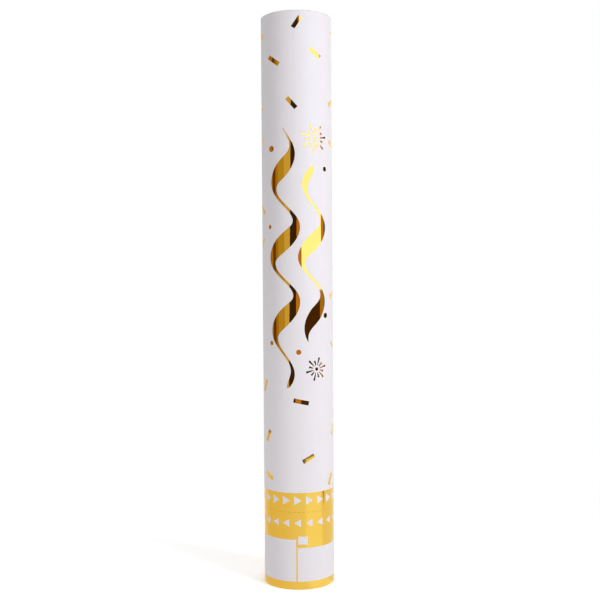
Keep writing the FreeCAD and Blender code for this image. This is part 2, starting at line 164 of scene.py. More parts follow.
def added(name: str) -> Piece:
    """Names the primitive just added and applies its place, turn and size.

    Args:
        name: the object's new name.

    Returns:
        The object.
    """
    piece = take(bpy.context.object)
    piece.name = piece.data.name = name
    bpy.ops.object.transform_apply(location=True, rotation=True, scale=True)
    return piece


def open_tube(name: str, radius: float, foot: float, top: float, sides: int = FLATS) -> Piece:
    """Adds a tube with open ends, one face thick, in metres.

    Args:
        name: the object's name.
        radius: the radius of its corners.
        foot: height of its lower edge.
        top: height of its upper edge.
        sides: how many flats it has.

    Returns:
        The tube.
    """
    middle = (0, 0, (foot + top) / 2)
    bpy.ops.mesh.primitive_cylinder_add(
        vertices=sides, radius=radius, depth=top - foot, end_fill_type="NOTHING", location=middle
    )
    return added(name)


def disc(name: str, radius: float, height: float, sides: int = 96) -> Piece:
    """Adds a flat disc that faces up, in metres."""
    bpy.ops.mesh.primitive_circle_add(vertices=sides, radius=radius, fill_type="NGON", location=(0, 0, height))
    return added(name)


def apply_modifier(piece: Piece, kind: str, **settings: object) -> None:
    """Adds a modifier to a piece and applies it.

    Args:
        piece: the object to change.
        kind: the modifier's type.
        settings: its properties.
    """
    take(piece)
    modifier = piece.modifiers.new(kind.title(), kind)
    for key, value in settings.items():
        setattr(modifier, key, value)
    bpy.ops.object.modifier_apply(modifier=modifier.name)


def thicken(piece: Piece, thickness: float, side: float) -> None:
    """Gives a sheet its thickness in metres: outside it where side is 1, inside at -1 and half to each at 0."""
    apply_modifier(piece, "SOLIDIFY", thickness=thickness, offset=side, use_even_offset=True)


def face_outwards(piece: Piece) -> None:
    """Merges a mesh's doubles and turns its faces outwards.

    Args:
        piece: the mesh object.
    """
    with editing(piece):
        bpy.ops.mesh.select_all(action="SELECT")
        bpy.ops.mesh.remove_doubles(threshold=NEAR)
        bpy.ops.mesh.normals_make_consistent(inside=False)


def cut(piece: Piece, normal: Vector, places: Iterable[float], near: float) -> None:
    """Cuts a mesh through, plane by plane.

    Args:
        piece: the mesh object.
        normal: the way that the planes face.
        places: how far along it each plane lies.
        near: how close to a plane a point counts as on it.
    """
    with editing(piece):
        for place in places:
            bpy.ops.mesh.select_all(action="SELECT")
            bpy.ops.mesh.bisect(plane_co=normal * place, plane_no=normal, threshold=near)


def smooth(piece: Piece, angle: float = 35.0) -> None:
    """Shades a piece smooth, but for edges sharper than an angle in degrees."""
    take(piece)
    bpy.ops.object.shade_smooth_by_angle(angle=math.radians(angle))


def copied(piece: Piece, place: Matrix) -> Piece:
    """Copies a piece with a mesh of its own.

    Args:
        piece: the object to copy.
        place: how the copy's mesh is moved.

    Returns:
        The copy, at the origin.
    """
    twin = piece.copy()
    twin.data = piece.data.copy()
    twin.data.transform(place)
    bpy.context.collection.objects.link(twin)
    return twin


def joined(name: str, pieces: list[Piece]) -> Piece:
    """Joins pieces into one object.

    Args:
        name: the new object's name.
        pieces: what is joined.

    Returns:
        The object that holds them all.
    """
    whole = take(pieces[0])
    for piece in pieces:
        piece.select_set(True)
    bpy.ops.object.join()
    whole.name = whole.data.name = name
    return whole


def azimuth_of(point: Vector) -> float:
    """A point's azimuth in degrees, from the front towards the right."""
    return math.degrees(math.atan2(point.x, -point.y))


# --- Nodes ---
@dataclass(frozen=True)
class Wiring:
    """Lays out the nodes of one material, node group or world."""

    tree: Tree

    @classmethod
    def blank(cls, owner: bpy.types.Material | bpy.types.World) -> "Wiring":
        """Starts a material or world from no nodes.

        Args:
            owner: the material or world.

        Returns:
            Its wiring.
        """
        owner.use_nodes = True
        owner.node_tree.nodes.clear()
        return cls(owner.node_tree)

    def fill(self, node: bpy.types.Node, inputs: dict[str | int, object]) -> None:
        """Gives a node's inputs their values.

        Args:
            node: the node.
            inputs: for each input, its value or the socket that feeds it. An underscore in a name is a space.
        """
        for key, value in inputs.items():
            socket = node.inputs[key.replace("_", " ") if isinstance(key, str) else key]
            if isinstance(value, Socket):
                self.tree.links.new(value, socket)
            else:
                socket.default_value = value

    def node(self, kind: str, inputs: dict[str | int, object] | None = None, **settings: object) -> bpy.types.Node:
        """Adds a node.

        Args:
            kind: the node's type, without ShaderNode.
            inputs: for each input, its value or the socket that feeds it.
            settings: the node's properties.

        Returns:
            The node.
        """
        made = self.tree.nodes.new("ShaderNode" + kind)
        for key, value in settings.items():
            setattr(made, key, value)
        self.fill(made, inputs or {})
        return made

    def calc(self, operation: str, *terms: float | Socket) -> Socket:
        """Does one of a Math node's operations on numbers or sockets."""
        return self.node("Math", dict(enumerate(terms)), operation=operation).outputs[0]

    def ranged(self, value: Socket, low: float, high: float, start: float = 0.0, end: float = 1.0) -> Socket:
        """Maps a value that runs from start to end onto low to high."""
        ends = {"From Min": start, "From Max": end, "To Min": low, "To Max": high}
        return self.node("MapRange", {"Value": value, **ends}).outputs[0]

    def tinted(self, share: Socket, first: Colour | Socket, second: Colour | Socket) -> Socket:
        """Mixes two colours, by how much of the second there is."""
        colours = (end if isinstance(end, Socket) else (*end, 1) for end in (first, second))
        return self.node("Mix", {0: share, **dict(zip(MIX_COLOURS, colours))}, data_type="RGBA").outputs[MIX_RESULT]

    def noise(self, place: Socket, scale: float | Socket, detail: float, roughness: float = 0.5) -> Socket:
        """Cloudy noise from 0 to 1."""
        inputs = {"Vector": place, "Scale": scale, "Detail": detail, "Roughness": roughness}
        return self.node("TexNoise", inputs).outputs["Fac"]

    def place(self) -> Socket:
        """The surface point's place on the object, in metres."""
        return self.node("TexCoord").outputs["Object"]

    def axes(self, place: Socket) -> bpy.types.NodeOutputs:
        """A place's X, Y and Z."""
        return self.node("SeparateXYZ", {0: place}).outputs

    def azimuth(self, axes: bpy.types.NodeOutputs) -> Socket:
        """The azimuth of a place's axes in radians, from the front towards the right."""
        return self.calc("ARCTAN2", axes[0], self.calc("MULTIPLY", axes[1], -1.0))

    def length(self, vector: Socket) -> Socket:
        """How long a vector is."""
        return self.node("VectorMath", {0: vector}, operation="LENGTH").outputs["Value"]

    def effect(self, group: Tree, **inputs: float | Colour) -> bpy.types.NodeOutputs:
        """Places a shared effect.

        Args:
            group: the effect's node group.
            inputs: its values, with spaces in names written as underscores.

        Returns:
            The effect's outputs.
        """
        made = self.tree.nodes.new("ShaderNodeGroup")
        made.node_tree = group
        self.fill(made, inputs)
        return made.outputs


@dataclass(frozen=True)
class Surface(Wiring):
    """A material's nodes, with the shader that they feed."""

    shader: bpy.types.Node

    def feed(self, colour: Socket, roughness: Socket, height: Socket, depth: float, **rest: float | Socket) -> None:
        """Feeds the shader its colour, roughness, relief of a depth in metres, and whatever else is named."""
        normal = self.node("Bump", {"Height": height, "Distance": depth}).outputs["Normal"]
        self.fill(self.shader, {"Base Color": colour, "Roughness": roughness, "Normal": normal, **rest})


@dataclass(frozen=True)
class EffectForm(Wiring):
    """An effect's node group while it is wired."""

    given: bpy.types.NodeOutputs

    @classmethod
    def new(cls, name: str, **inputs: float | Colour) -> "EffectForm":
        """Starts a node group.

        Args:
            name: the group's name.
            inputs: its numbers and vectors with their usual values, and spaces in names written as underscores.

        Returns:
            The form, with what the group is given.
        """
        tree = bpy.data.node_groups.new(name, "ShaderNodeTree")
        for key, value in inputs.items():
            kind = "NodeSocketVector" if isinstance(value, tuple) else "NodeSocketFloat"
            socket = tree.interface.new_socket(key.replace("_", " "), in_out="INPUT", socket_type=kind)
            socket.default_value = value
        return cls(tree, tree.nodes.new("NodeGroupInput").outputs)

    def done(self, **outputs: Socket) -> Tree:
        """Puts out what the group has worked out.

        Args:
            outputs: for each output's name, the socket that feeds it.

        Returns:
            The finished node group.
        """
        for key in outputs:
            self.tree.interface.new_socket(key, in_out="OUTPUT", socket_type="NodeSocketFloat")
        self.fill(self.tree.nodes.new("NodeGroupOutput"), outputs)
        return self.tree


class Effects:
    """Surface effects that several finishes share, each a node group that is built once."""

    SLOW = 0.08  # scale of a grain's change of tone against its relief's
    SMALL = 9.0  # scale of small ripples against the wide ones'
    FAINT = 0.12  # height of small ripples against the wide ones'
    STREAKS = 0.7  # scale of a lathe's streaks against its rings'
    PATCHES = 260.0  # scale of what breaks up a rubbed edge
    WANDER = 0.012  # radians by which the crease's painted shade strays to each side
    BENDS = 300.0  # scale of the painted shade's straying along the crease
    BOLD = 1.4  # strength of the crease's painted shade, which is then cut off at 1

    @staticmethod
    @cache
    def grain() -> Tree:
        """Fine relief and a slow change of tone, which a stretch can draw out into fibres.

        Returns:
            The node group.
        """
        form = EffectForm.new("grain", Scale=800.0, Stretch=(1.0, 1.0, 1.0))
        scale, stretch = form.given["Scale"], form.given["Stretch"]
        drawn = form.node("VectorMath", {0: form.place(), 1: stretch}, operation="MULTIPLY").outputs[0]
        fine = form.noise(drawn, scale, detail=5.0, roughness=0.6)
        slow = form.noise(drawn, form.calc("MULTIPLY", scale, Effects.SLOW), detail=3.0)
        return form.done(Height=fine, Mottle=slow)

    @staticmethod
    @cache
    def ripple() -> Tree:
        """Faint waviness of foil laid over paper.

        Returns:
            The node group.
        """
        form = EffectForm.new("ripple", Scale=120.0)
        place, scale = form.place(), form.given["Scale"]
        wide = form.noise(place, scale, detail=1.0)
        small = form.noise(place, form.calc("MULTIPLY", scale, Effects.SMALL), detail=3.0)
        height = form.calc("ADD", wide, form.calc("MULTIPLY", small, Effects.FAINT))
        return form.done(Height=height, Haze=small)

    @staticmethod
    @cache
    def specks() -> Tree:
        """Sparse pinholes and dust.

        Returns:
            The node group.
        """
        form = EffectForm.new("specks", Scale=220.0, Size=0.1, Share=0.2)
        cells = form.node("TexVoronoi", {"Vector": form.place(), "Scale": form.given["Scale"]}).outputs
        near = form.calc("LESS_THAN", cells["Distance"], form.given["Size"])
        tone = form.node("SeparateColor", {0: cells["Color"]}).outputs[0]
        kept = form.calc("LESS_THAN", tone, form.given["Share"])
        return form.done(Mask=form.calc("MULTIPLY", near, kept))

    @staticmethod
    @cache
    def turning() -> Tree:
        """Rings that a lathe leaves on sides and faces, about the upright axis.

        Returns:
            The node group.
        """
        form = EffectForm.new("turning", Pitch=0.0004)
        axes = form.axes(form.place())
        radius = form.length(form.node("CombineXYZ", {0: axes[0], 1: axes[1]}).outputs[0])
        count = form.calc("DIVIDE", form.calc("ADD", radius, axes[2]), form.given["Pitch"])
        wave = form.calc("SINE", form.calc("MULTIPLY", count, TURN))
        inputs = {"W": count, "Scale": Effects.STREAKS, "Detail": 2.0}
        streak = form.node("TexNoise", inputs, noise_dimensions="1D").outputs["Fac"]
        return form.done(Height=form.ranged(wave, 0.0, 1.0, -1.0, 1.0), Streak=streak)

    @staticmethod
    @cache
    def winding() -> Tree:
        """The helical seam of a wound cardboard tube, as a thin mask.

        Returns:
            The node group.
        """
        form = EffectForm.new("winding", Pitch=0.09, Width=0.006)
        axes = form.axes(form.place())
        turn = form.calc("DIVIDE", form.calc("ARCTAN2", axes[1], axes[0]), TURN)
        climb = form.calc("DIVIDE", axes[2], form.given["Pitch"])
        part = form.calc("FRACT", form.calc("ADD", climb, turn))
        return form.done(Mask=form.calc("LESS_THAN", part, form.given["Width"]))

    @staticmethod
    @cache
    def rub() -> Tree:
        """Scuffing near two edges at given heights, broken up by noise.

        Returns:
            The node group.
        """
        form = EffectForm.new("rub", Low_Edge=0.0, High_Edge=0.4, Reach=0.002)
        place = form.place()
        height = form.axes(place)[2]
        edges = (form.given[key] for key in ("Low Edge", "High Edge"))
        apart = (form.calc("ABSOLUTE", form.calc("SUBTRACT", height, edge)) for edge in edges)
        nearest = form.calc("DIVIDE", form.calc("MINIMUM", *apart), form.given["Reach"])
        share = form.calc("MAXIMUM", form.calc("SUBTRACT", 1.0, nearest), 0.0)
        patches = form.ranged(form.noise(place, Effects.PATCHES, detail=4.0), 0, 1, start=0.4, end=0.65)
        return form.done(Mask=form.calc("MULTIPLY", share, patches))

    @staticmethod
    @cache
    def painted_crease_shade() -> Tree:
        """Painted shade along a crease: a thin upright line at one azimuth, strongest at its top and gone at its foot.

        Returns:
            The node group.
        """
        form = EffectForm.new("painted_crease_shade", Azimuth=0.7, Width=0.03, Foot=0.055, Top=0.067)
        azimuth, width, foot, top = (form.given[key] for key in ("Azimuth", "Width", "Foot", "Top"))
        place = form.place()
        axes = form.axes(place)
        wander = form.ranged(form.noise(place, Effects.BENDS, detail=2.0), -Effects.WANDER, Effects.WANDER)
        middle = form.calc("ADD", azimuth, wander)
        apart = form.calc("ABSOLUTE", form.calc("SUBTRACT", form.azimuth(axes), middle))
        near = form.calc("SUBTRACT", 1.0, form.calc("DIVIDE", apart, width))
        rise = form.calc("DIVIDE", form.calc("SUBTRACT", axes[2], foot), form.calc("SUBTRACT", top, foot))
        mask = form.calc("MULTIPLY", *(form.calc("MAXIMUM", share, 0.0) for share in (near, rise)))
        return form.done(Mask=form.calc("MINIMUM", form.calc("MULTIPLY", mask, Effects.BOLD), 1.0))


# --- Finishes ---
@dataclass(frozen=True)
class Finish:
    """What each finish states, and how its material is made."""

    name: str
    colour: Colour
    grain: float  # scale of its grain
    shades: tuple[float, float]  # factors of its colour between which it varies
    roughness: tuple[float, float]
    relief: float  # depth in metres
    stretch: float = 1.0  # of its grain's scale, upright
    span: tuple[float, float] = (0.0, 1.0)  # of the value that its roughness follows

    @cache
    def material(self) -> bpy.types.Material:
        """Makes the finish's material when it is first asked for.

        Returns:
            The material.
        """
        made = bpy.data.materials.new(self.name)
        made.use_nodes = True
        made.diffuse_color = (*self.colour, 1)
        shader = next(node for node in made.node_tree.nodes if node.type == "BSDF_PRINCIPLED")
        shader.inputs["Base Color"].default_value = (*self.colour, 1)
        self.wire(Surface(made.node_tree, shader))
        return made

    def wire(self, surface: Surface) -> None:
        """Adds the finish's own nodes."""
        raise NotImplementedError

    def shade(self, factor: float) -> Colour:
        """The finish's colour, made darker or lighter by a factor."""
        return tuple(min(1.0, channel * factor) for channel in self.colour)

    def grained(self, surface: Surface) -> bpy.types.NodeOutputs:
        """Places the finish's grain."""
        return surface.effect(Effects.grain(), Scale=self.grain, Stretch=(1.0, 1.0, self.stretch))

    def toned(self, surface: Surface, share: Socket) -> Socket:
        """The finish's colour, varied between its shades."""
        return surface.tinted(share, *(self.shade(factor) for factor in self.shades))

    def roughened(self, surface: Surface, value: Socket) -> Socket:
        """The finish's roughness, varied by a value."""
        return surface.ranged(value, *self.roughness, *self.span)

    def cover(self, *pieces: Piece) -> None:
        """Gives pieces this finish alone.

        Args:
            pieces: the objects.
        """
        for piece in pieces:
            piece.data.materials.clear()
            piece.data.materials.append(self.material())


@dataclass(frozen=True)
class Paper(Finish):
    """Satin coated paper with a faint fibre, rubbed at its edges, whose heights are in metres."""

    grain: float = 1500.0
    stretch: float = 0.45
    shades: tuple[float, float] = (0.985, 1.0)
    roughness: tuple[float, float] = (0.46, 0.6)
    relief: float = 8e-6
    mottle: tuple[float, float] = (0.35, 0.65)
    edges: tuple[float, float] = (0.054, 0.4)
    rub_reach: float = 0.0016
    rub_strength: float = 0.55
    rub_shade: float = 0.8
    gloss: float = 0.05
    gloss_roughness: float = 0.32
    specular: float = 0.2

    def wire(self, surface: Surface) -> None:
        """Wires fibre, mottle and edge rub.

        Args:
            surface: the material's nodes.
        """
        fibre = self.grained(surface)
        rub = surface.effect(Effects.rub(), Low_Edge=self.edges[0], High_Edge=self.edges[1], Reach=self.rub_reach)
        toned = self.toned(surface, surface.ranged(fibre["Mottle"], 0, 1, *self.mottle))
        soiled = surface.tinted(surface.ranged(rub["Mask"], 0, self.rub_strength), toned, self.shade(self.rub_shade))
        surface.feed(
            soiled, self.roughened(surface, fibre["Height"]), fibre["Height"], self.relief,
            Coat_Weight=self.gloss, Coat_Roughness=self.gloss_roughness, Specular_IOR_Level=self.specular,
        )


@dataclass(frozen=True)
class Foil(Finish):
    """Bright metal foil stamped on paper, a little wavy, with pinholes, and darkened with painted shade along a crease
    if it has one.

    A crease is stated as its azimuth in degrees and the heights of its faint lower end and its sharp upper end.
    """

    grain: float = 500.0
    shades: tuple[float, float] = (0.96, 1.02)
    roughness: tuple[float, float] = (0.015, 0.045)
    span: tuple[float, float] = (0.3, 0.7)
    relief: float = 2e-5
    waves: float = 120.0
    pinholes: float = 0.05  # share of the places where there can be one
    pinhole_size: float = 0.12
    pinhole_scale: float = 420.0
    bare: Colour = (0.34, 0.23, 0.12)
    bare_metallic: float = 0.2
    crease: tuple[float, float, float] | None = None
    crease_width: float = 0.045  # in radians
    # colour of the painted shade that darkens the foil along its crease
    crease_shade_colour: Colour = (0.46, 0.2, 0.018)

    def wire(self, surface: Surface) -> None:
        """Wires waviness, haze, pinholes and the painted shade along the crease.

        Args:
            surface: the material's nodes.
        """
        ripple = surface.effect(Effects.ripple(), Scale=self.waves)
        sizes = {"Scale": self.pinhole_scale, "Size": self.pinhole_size, "Share": self.pinholes}
        holes = surface.effect(Effects.specks(), **sizes)["Mask"]
        toned = self.toned(surface, self.grained(surface)["Mottle"])
        if self.crease:
            turn, foot, top = self.crease
            ends = {"Azimuth": math.radians(turn), "Width": self.crease_width, "Foot": foot, "Top": top}
            # painted shade: the foil's colour is darkened along the crease, where its dent is shaded
            toned = surface.tinted(surface.effect(Effects.painted_crease_shade(), **ends)["Mask"], toned, self.crease_shade_colour)
        surface.feed(
            surface.tinted(holes, toned, self.bare), self.roughened(surface, ripple["Haze"]),
            ripple["Height"], self.relief, Metallic=surface.ranged(holes, 1.0, self.bare_metallic),
        )


@dataclass(frozen=True)
class Ink(Finish):
    """Opaque white ink printed over foil."""

    grain: float = 2400.0
    shades: tuple[float, float] = (0.97, 1.0)
    roughness: tuple[float, float] = (0.42, 0.6)
    relief: float = 5e-6
    gloss: float = 0.08
    gloss_roughness: float = 0.3
    specular: float = 0.25

    def wire(self, surface: Surface) -> None:
        """Wires the ink's fine stipple.

        Args:
            surface: the material's nodes.
        """
        stipple = self.grained(surface)
        rough = self.roughened(surface, stipple["Height"])
        surface.feed(
            self.toned(surface, stipple["Mottle"]), rough, stipple["Height"], self.relief,
            Coat_Weight=self.gloss, Coat_Roughness=self.gloss_roughness, Specular_IOR_Level=self.specular,
        )


@dataclass(frozen=True)
class Cardboard(Finish):
    """Wound grey board: long fibres, plies at the cut ends and a helical seam.

    Its flecks, seam and plies are stated as how strongly they tint it, and the factor of its colour that they have.
    """

    grain: float = 900.0
    stretch: float = 0.25
    shades: tuple[float, float] = (0.82, 1.12)
    roughness: tuple[float, float] = (0.75, 0.95)
    relief: float = 4e-5
    flecks: tuple[float, float] = (0.5, 0.55)
    seam: tuple[float, float] = (0.6, 0.6)
    plies: tuple[float, float] = (0.35, 0.7)
    fleck_scale: float = 600.0
    fleck_size: float = 0.16
    fleck_share: float = 0.12
    seam_pitch: float = 0.09  # in metres
    seam_width: float = 0.005  # as a share of the pitch
    ply_pitch: float = 0.00035  # in metres
    specular: float = 0.3

    def wire(self, surface: Surface) -> None:
        """Wires fibres, plies and seam.

        Args:
            surface: the material's nodes.
        """
        fibres = self.grained(surface)
        sizes = {"Scale": self.fleck_scale, "Size": self.fleck_size, "Share": self.fleck_share}
        flecks = surface.effect(Effects.specks(), **sizes)["Mask"]
        seam = surface.effect(Effects.winding(), Pitch=self.seam_pitch, Width=self.seam_width)["Mask"]
        plies = surface.effect(Effects.turning(), Pitch=self.ply_pitch)["Streak"]
        toned = self.toned(surface, fibres["Mottle"])
        for mask, (strength, shade) in ((flecks, self.flecks), (seam, self.seam), (plies, self.plies)):
            toned = surface.tinted(surface.ranged(mask, 0, strength), toned, self.shade(shade))
        relief = surface.calc("SUBTRACT", fibres["Height"], seam)
        rough = self.roughened(surface, fibres["Height"])
        surface.feed(toned, rough, relief, self.relief, Specular_IOR_Level=self.specular)


@dataclass(frozen=True)
class Plastic(Finish):
    """Moulded plastic with a fine eroded texture and slight flow marks."""

    grain: float = 2600.0
    shades: tuple[float, float] = (0.95, 1.02)
    roughness: tuple[float, float] = (0.32, 0.5)
    span: tuple[float, float] = (0.25, 0.75)
    relief: float = 1.2e-5
    flow: float = 420.0
    flow_stretch: float = 0.3

    def wire(self, surface: Surface) -> None:
        """Wires the mould texture and flow marks.

        Args:
            surface: the material's nodes.
        """
        texture = self.grained(surface)["Height"]
        flow = surface.effect(Effects.grain(), Scale=self.flow, Stretch=(1.0, 1.0, self.flow_stretch))["Mottle"]
        surface.feed(self.toned(surface, flow), self.roughened(surface, texture), texture, self.relief)


@dataclass(frozen=True)
class Metal(Finish):
    """Turned or drawn metal with tool rings, a pitch in metres apart, and tarnish."""

    grain: float = 700.0
    shades: tuple[float, float] = (0.8, 1.08)
    roughness: tuple[float, float] = (0.2, 0.36)
    span: tuple[float, float] = (0.3, 0.7)
    relief: float = 4e-6
    pitch: float = 0.0004

    def wire(self, surface: Surface) -> None:
        """Wires tool rings and tarnish.

        Args:
            surface: the material's nodes.
        """
        rings = surface.effect(Effects.turning(), Pitch=self.pitch)
        toned = self.toned(surface, self.grained(surface)["Mottle"])
        surface.feed(toned, self.roughened(surface, rings["Streak"]), rings["Height"], self.relief, Metallic=1.0)


@dataclass(frozen=True)
class Rubber(Finish):
    """Moulded rubber with a pale bloom."""

    grain: float = 1600.0
    shades: tuple[float, float] = (1.0, 2.6)
    roughness: tuple[float, float] = (0.5, 0.75)
    relief: float = 2e-5
    bloom: tuple[float, float] = (0.45, 0.75)  # values of the grain between which it comes
    most_bloom: float = 0.6

    def wire(self, surface: Surface) -> None:
        """Wires the bloom and the moulded surface.

        Args:
            surface: the material's nodes.
        """
        grain = self.grained(surface)
        toned = self.toned(surface, surface.ranged(grain["Mottle"], 0, self.most_bloom, *self.bloom))
        surface.feed(toned, self.roughened(surface, grain["Height"]), grain["Height"], self.relief)


@dataclass(frozen=True)
class Foam(Finish):
    """Closed-cell foam, cut through its cells."""

    grain: float = 400.0
    shades: tuple[float, float] = (0.8, 1.0)
    roughness: tuple[float, float] = (0.95, 0.75)
    relief: float = 1.5e-4
    cells: float = 1400.0
    walls: tuple[float, float] = (0.1, 0.6)  # distances from a cell's middle between which its wall rises
    stain: float = 0.9
    most_stain: float = 0.2

    def wire(self, surface: Surface) -> None:
        """Wires the cut cells.

        Args:
            surface: the material's nodes.
        """
        cells = surface.node("TexVoronoi", {"Vector": surface.place(), "Scale": self.cells}, feature="SMOOTH_F1")
        walls = surface.ranged(cells.outputs["Distance"], 0.0, 1.0, *self.walls)
        stain = surface.ranged(self.grained(surface)["Mottle"], 0, self.most_stain)
        toned = surface.tinted(stain, self.toned(surface, walls), self.shade(self.stain))
        surface.feed(toned, self.roughened(surface, walls), walls, self.relief)


WHITE_PAPER = Paper("white_paper", (0.87, 0.835, 0.872))
TISSUE = Paper("wad_paper", (0.84, 0.82, 0.8), edges=(0.3379, 0.3394), gloss=0.0, relief=2e-5)
GOLD_FOIL = Foil("gold_foil", (0.93, 0.575, 0.09))
BAND_FOIL = Foil("band_foil", (0.93, 0.575, 0.09), crease=(CREASE_AZIMUTH, 0.0555, 0.0672))
SEAL_FOIL = Foil("seal_foil", (0.93, 0.6, 0.11), relief=1.2e-4, waves=260.0, roughness=(0.14, 0.24))
SLIP_FOIL = Foil("slip_foil", (0.93, 0.6, 0.1), relief=8e-5, waves=340.0, roughness=(0.12, 0.22), pinholes=0.0)
WHITE_INK = Ink("white_ink", (0.865, 0.83, 0.868))
GREY_BOARD = Cardboard("grey_board", (0.47, 0.37, 0.26))
WHITE_PLASTIC = Plastic("white_plastic", (0.84, 0.84, 0.82))
ALUMINIUM = Metal("aluminium", (0.84, 0.85, 0.86), relief=2e-6)
BRASS = Metal("brass", (0.74, 0.53, 0.23), pitch=0.00025, roughness=(0.16, 0.3))
STEEL = Metal("steel", (0.54, 0.54, 0.55), pitch=0.0002, roughness=(0.18, 0.3))
BLACK_RUBBER = Rubber("black_rubber", (0.018, 0.018, 0.019))
WHITE_FOAM = Foam("white_foam", (0.85, 0.85, 0.84))


# --- Prints: laid out flat in millimetres, then rolled round the tube ---
@dataclass(frozen=True)
class Spot:
    """A place on a wrap laid out flat: how far along its girth from the front, to the right, and how far up."""

    along: float
    up: float

    def placed(self, tilt: float, size: tuple[float, float]) -> Matrix:
        """The move of an upright pattern to here, its right end tilted up by degrees, with a length and a width."""
        turned = Matrix.Rotation(-math.radians(tilt), 4, "Y") @ Matrix.Diagonal((size[0], 1, size[1], 1))
        return Matrix.Translation((self.along, 0, self.up)) @ turned


@dataclass(frozen=True)
class Fleck(Spot):
    """One printed confetti slip about its spot: how it tilts and how large it is."""

    tilt: float
    length: float = 9.6
    width: float = 3.0

    def move(self) -> Matrix:
        """The move that brings a unit slab here."""
        return self.placed(self.tilt, (self.length, self.width))


@dataclass(frozen=True)
class Dot(Spot):
    """A round dot about its spot."""

    radius: float

    def move(self) -> Matrix:
        """The move that brings a polygon of radius 1 here."""
        return self.placed(0, (self.radius, self.radius))


@dataclass(frozen=True)
class Streamer(Spot):
    """A curling party streamer up from its spot: a ribbon that is broad on the way down and thin on the way up."""

    length: float
    swing: float
    wave: float
    start: float
    broad: float
    thin: float
    least: float = 0.15  # width at its ends
    taper: float = 6.0  # one part in so many narrows at each end
    bias: float = 1.5  # the higher, the sooner it narrows towards the way up
    calm: float = 0.55  # swing at its ends, as a share of the widest
    step: float = 0.9  # between the points along it
    beside: float = 5.0  # room that a fleck keeps to each side
    beyond: float = 7.0  # room that a fleck keeps at each end

    def covers(self, spot: Spot) -> bool:
        """Whether a fleck at a spot would touch the ribbon."""
        clear = self.swing + self.broad / 2 + self.beside
        return abs(spot.along - self.along) < clear and -self.beyond < spot.up - self.up < self.length + self.beyond

    def drawn(self) -> Piece:
        """Draws the ribbon upright, facing the front.

        Returns:
            The flat ribbon.
        """
        steps = int(self.length / self.step)
        bpy.ops.mesh.primitive_grid_add(x_subdivisions=1, y_subdivisions=steps, size=1, rotation=(math.pi / 2, 0, 0))
        ribbon = added("ribbon")
        for corner in ribbon.data.vertices:
            middle, normal, width = self.at(corner.co.z + 0.5)
            place = middle + normal * math.copysign(width / 2, corner.co.x)
            corner.co = (place.x, 0, place.y)
        return ribbon

    def at(self, share: float) -> tuple[Vector, Vector, float]:
        """Follows the ribbon, which swings widest halfway up.

        Args:
            share: how much of its length lies below.

        Returns:
            The ribbon's middle, its normal and its width there.
        """
        angle = math.radians(self.start) + TURN * share * self.length / self.wave
        reach = self.swing * (self.calm + (1 - self.calm) * math.sin(math.pi * share))
        middle = Vector((self.along + reach * math.sin(angle), self.up + self.length * share))
        normal = Vector((1, -reach * math.cos(angle) * TURN / self.wave)).normalized()
        fade = math.sqrt(min(1.0, self.taper * share, self.taper * (1 - share)))
        weight = 0.5 + 0.5 * math.cos(angle)
        width = (self.thin + (self.broad - self.thin) * weight**self.bias) * fade
        return middle, normal, max(width, self.least)


@dataclass(frozen=True)
class Burst(Spot):
    """A firework about its spot: tapered rays, every second one shorter, round a dot."""

    rays: int
    inner: float
    outer: float
    start: float
    hub: float
    short: float = 0.6  # shorter rays' length, as a share of the others'
    ray_width: float = 1.5
    beyond: float = 7.0  # room that a fleck keeps

    def covers(self, spot: Spot) -> bool:
        """Whether a fleck at a spot would touch a ray."""
        return math.hypot(spot.along - self.along, spot.up - self.up) < self.outer + self.beyond

    def moves(self) -> Iterator[Matrix]:
        """Goes round the rays.

        Returns:
            The move that brings a unit slab to each.
        """
        for ray in range(self.rays):
            tilt = self.start + 360 * ray / self.rays
            length = (self.outer - self.inner) * (self.short if ray % 2 else 1.0)
            reach, angle = self.inner + length / 2, math.radians(tilt)
            middle = Spot(self.along + reach * math.cos(angle), self.up + reach * math.sin(angle))
            yield middle.placed(tilt, (length, self.ray_width))


@dataclass(frozen=True)
class Scatter:
    """How flecks are strewn over the far side, in millimetres and degrees."""

    half_girth: float
    count: int = 24
    front: float = 41.0  # half of the girth at the front that is left out
    back: float = 6.0  # half of the strip that is left out straight behind
    lap: tuple[float, float] = (50.0, 70.0)  # strip along the sheet's lap that is left out
    heights: tuple[float, float] = (76.0, 391.0)
    apart: float = 13.0
    stretch: float = 1.6  # how much further apart they are upright
    tilt: float = 65.0
    lengths: tuple[float, float] = (9.0, 10.2)
    seed: int = 11

    def flecks(self, motifs: Iterable[Streamer | Burst]) -> list[Fleck]:
        """Strews the flecks, clear of each other, of the lap and of the larger prints.

        Args:
            motifs: the larger prints.

        Returns:
            The flecks.
        """
        chance = Random(self.seed)
        found: list[Fleck] = []
        while len(found) < self.count:
            along = chance.uniform(self.front, 2 * self.half_girth - self.front)
            along = along if along <= self.half_girth else along - 2 * self.half_girth
            spot = Spot(along, chance.uniform(*self.heights))
            near = any(math.hypot(along - f.along, (spot.up - f.up) / self.stretch) < self.apart for f in found)
            covered = any(motif.covers(spot) for motif in motifs) or self.lap[0] < along < self.lap[1]
            if not near and not covered and abs(along) < self.half_girth - self.back:
                tilt = chance.uniform(-self.tilt, self.tilt)
                found.append(Fleck(along, spot.up, tilt, chance.uniform(*self.lengths)))
        return found


def polygon(sides: int) -> Piece:
    """Adds a regular polygon of radius 1 to copy, upright and facing the front, with a corner to the right.

    Args:
        sides: how many sides it has.

    Returns:
        The polygon.
    """
    upright = (math.pi / 2, math.pi / 2, 0)
    bpy.ops.mesh.primitive_circle_add(vertices=sides, radius=1, fill_type="NGON", rotation=upright)
    return added("pattern")


def slab() -> Piece:
    """Adds a square of side 1 to copy, upright and facing the front."""
    bpy.ops.mesh.primitive_plane_add(size=1, rotation=(math.pi / 2, 0, 0))
    return added("pattern")


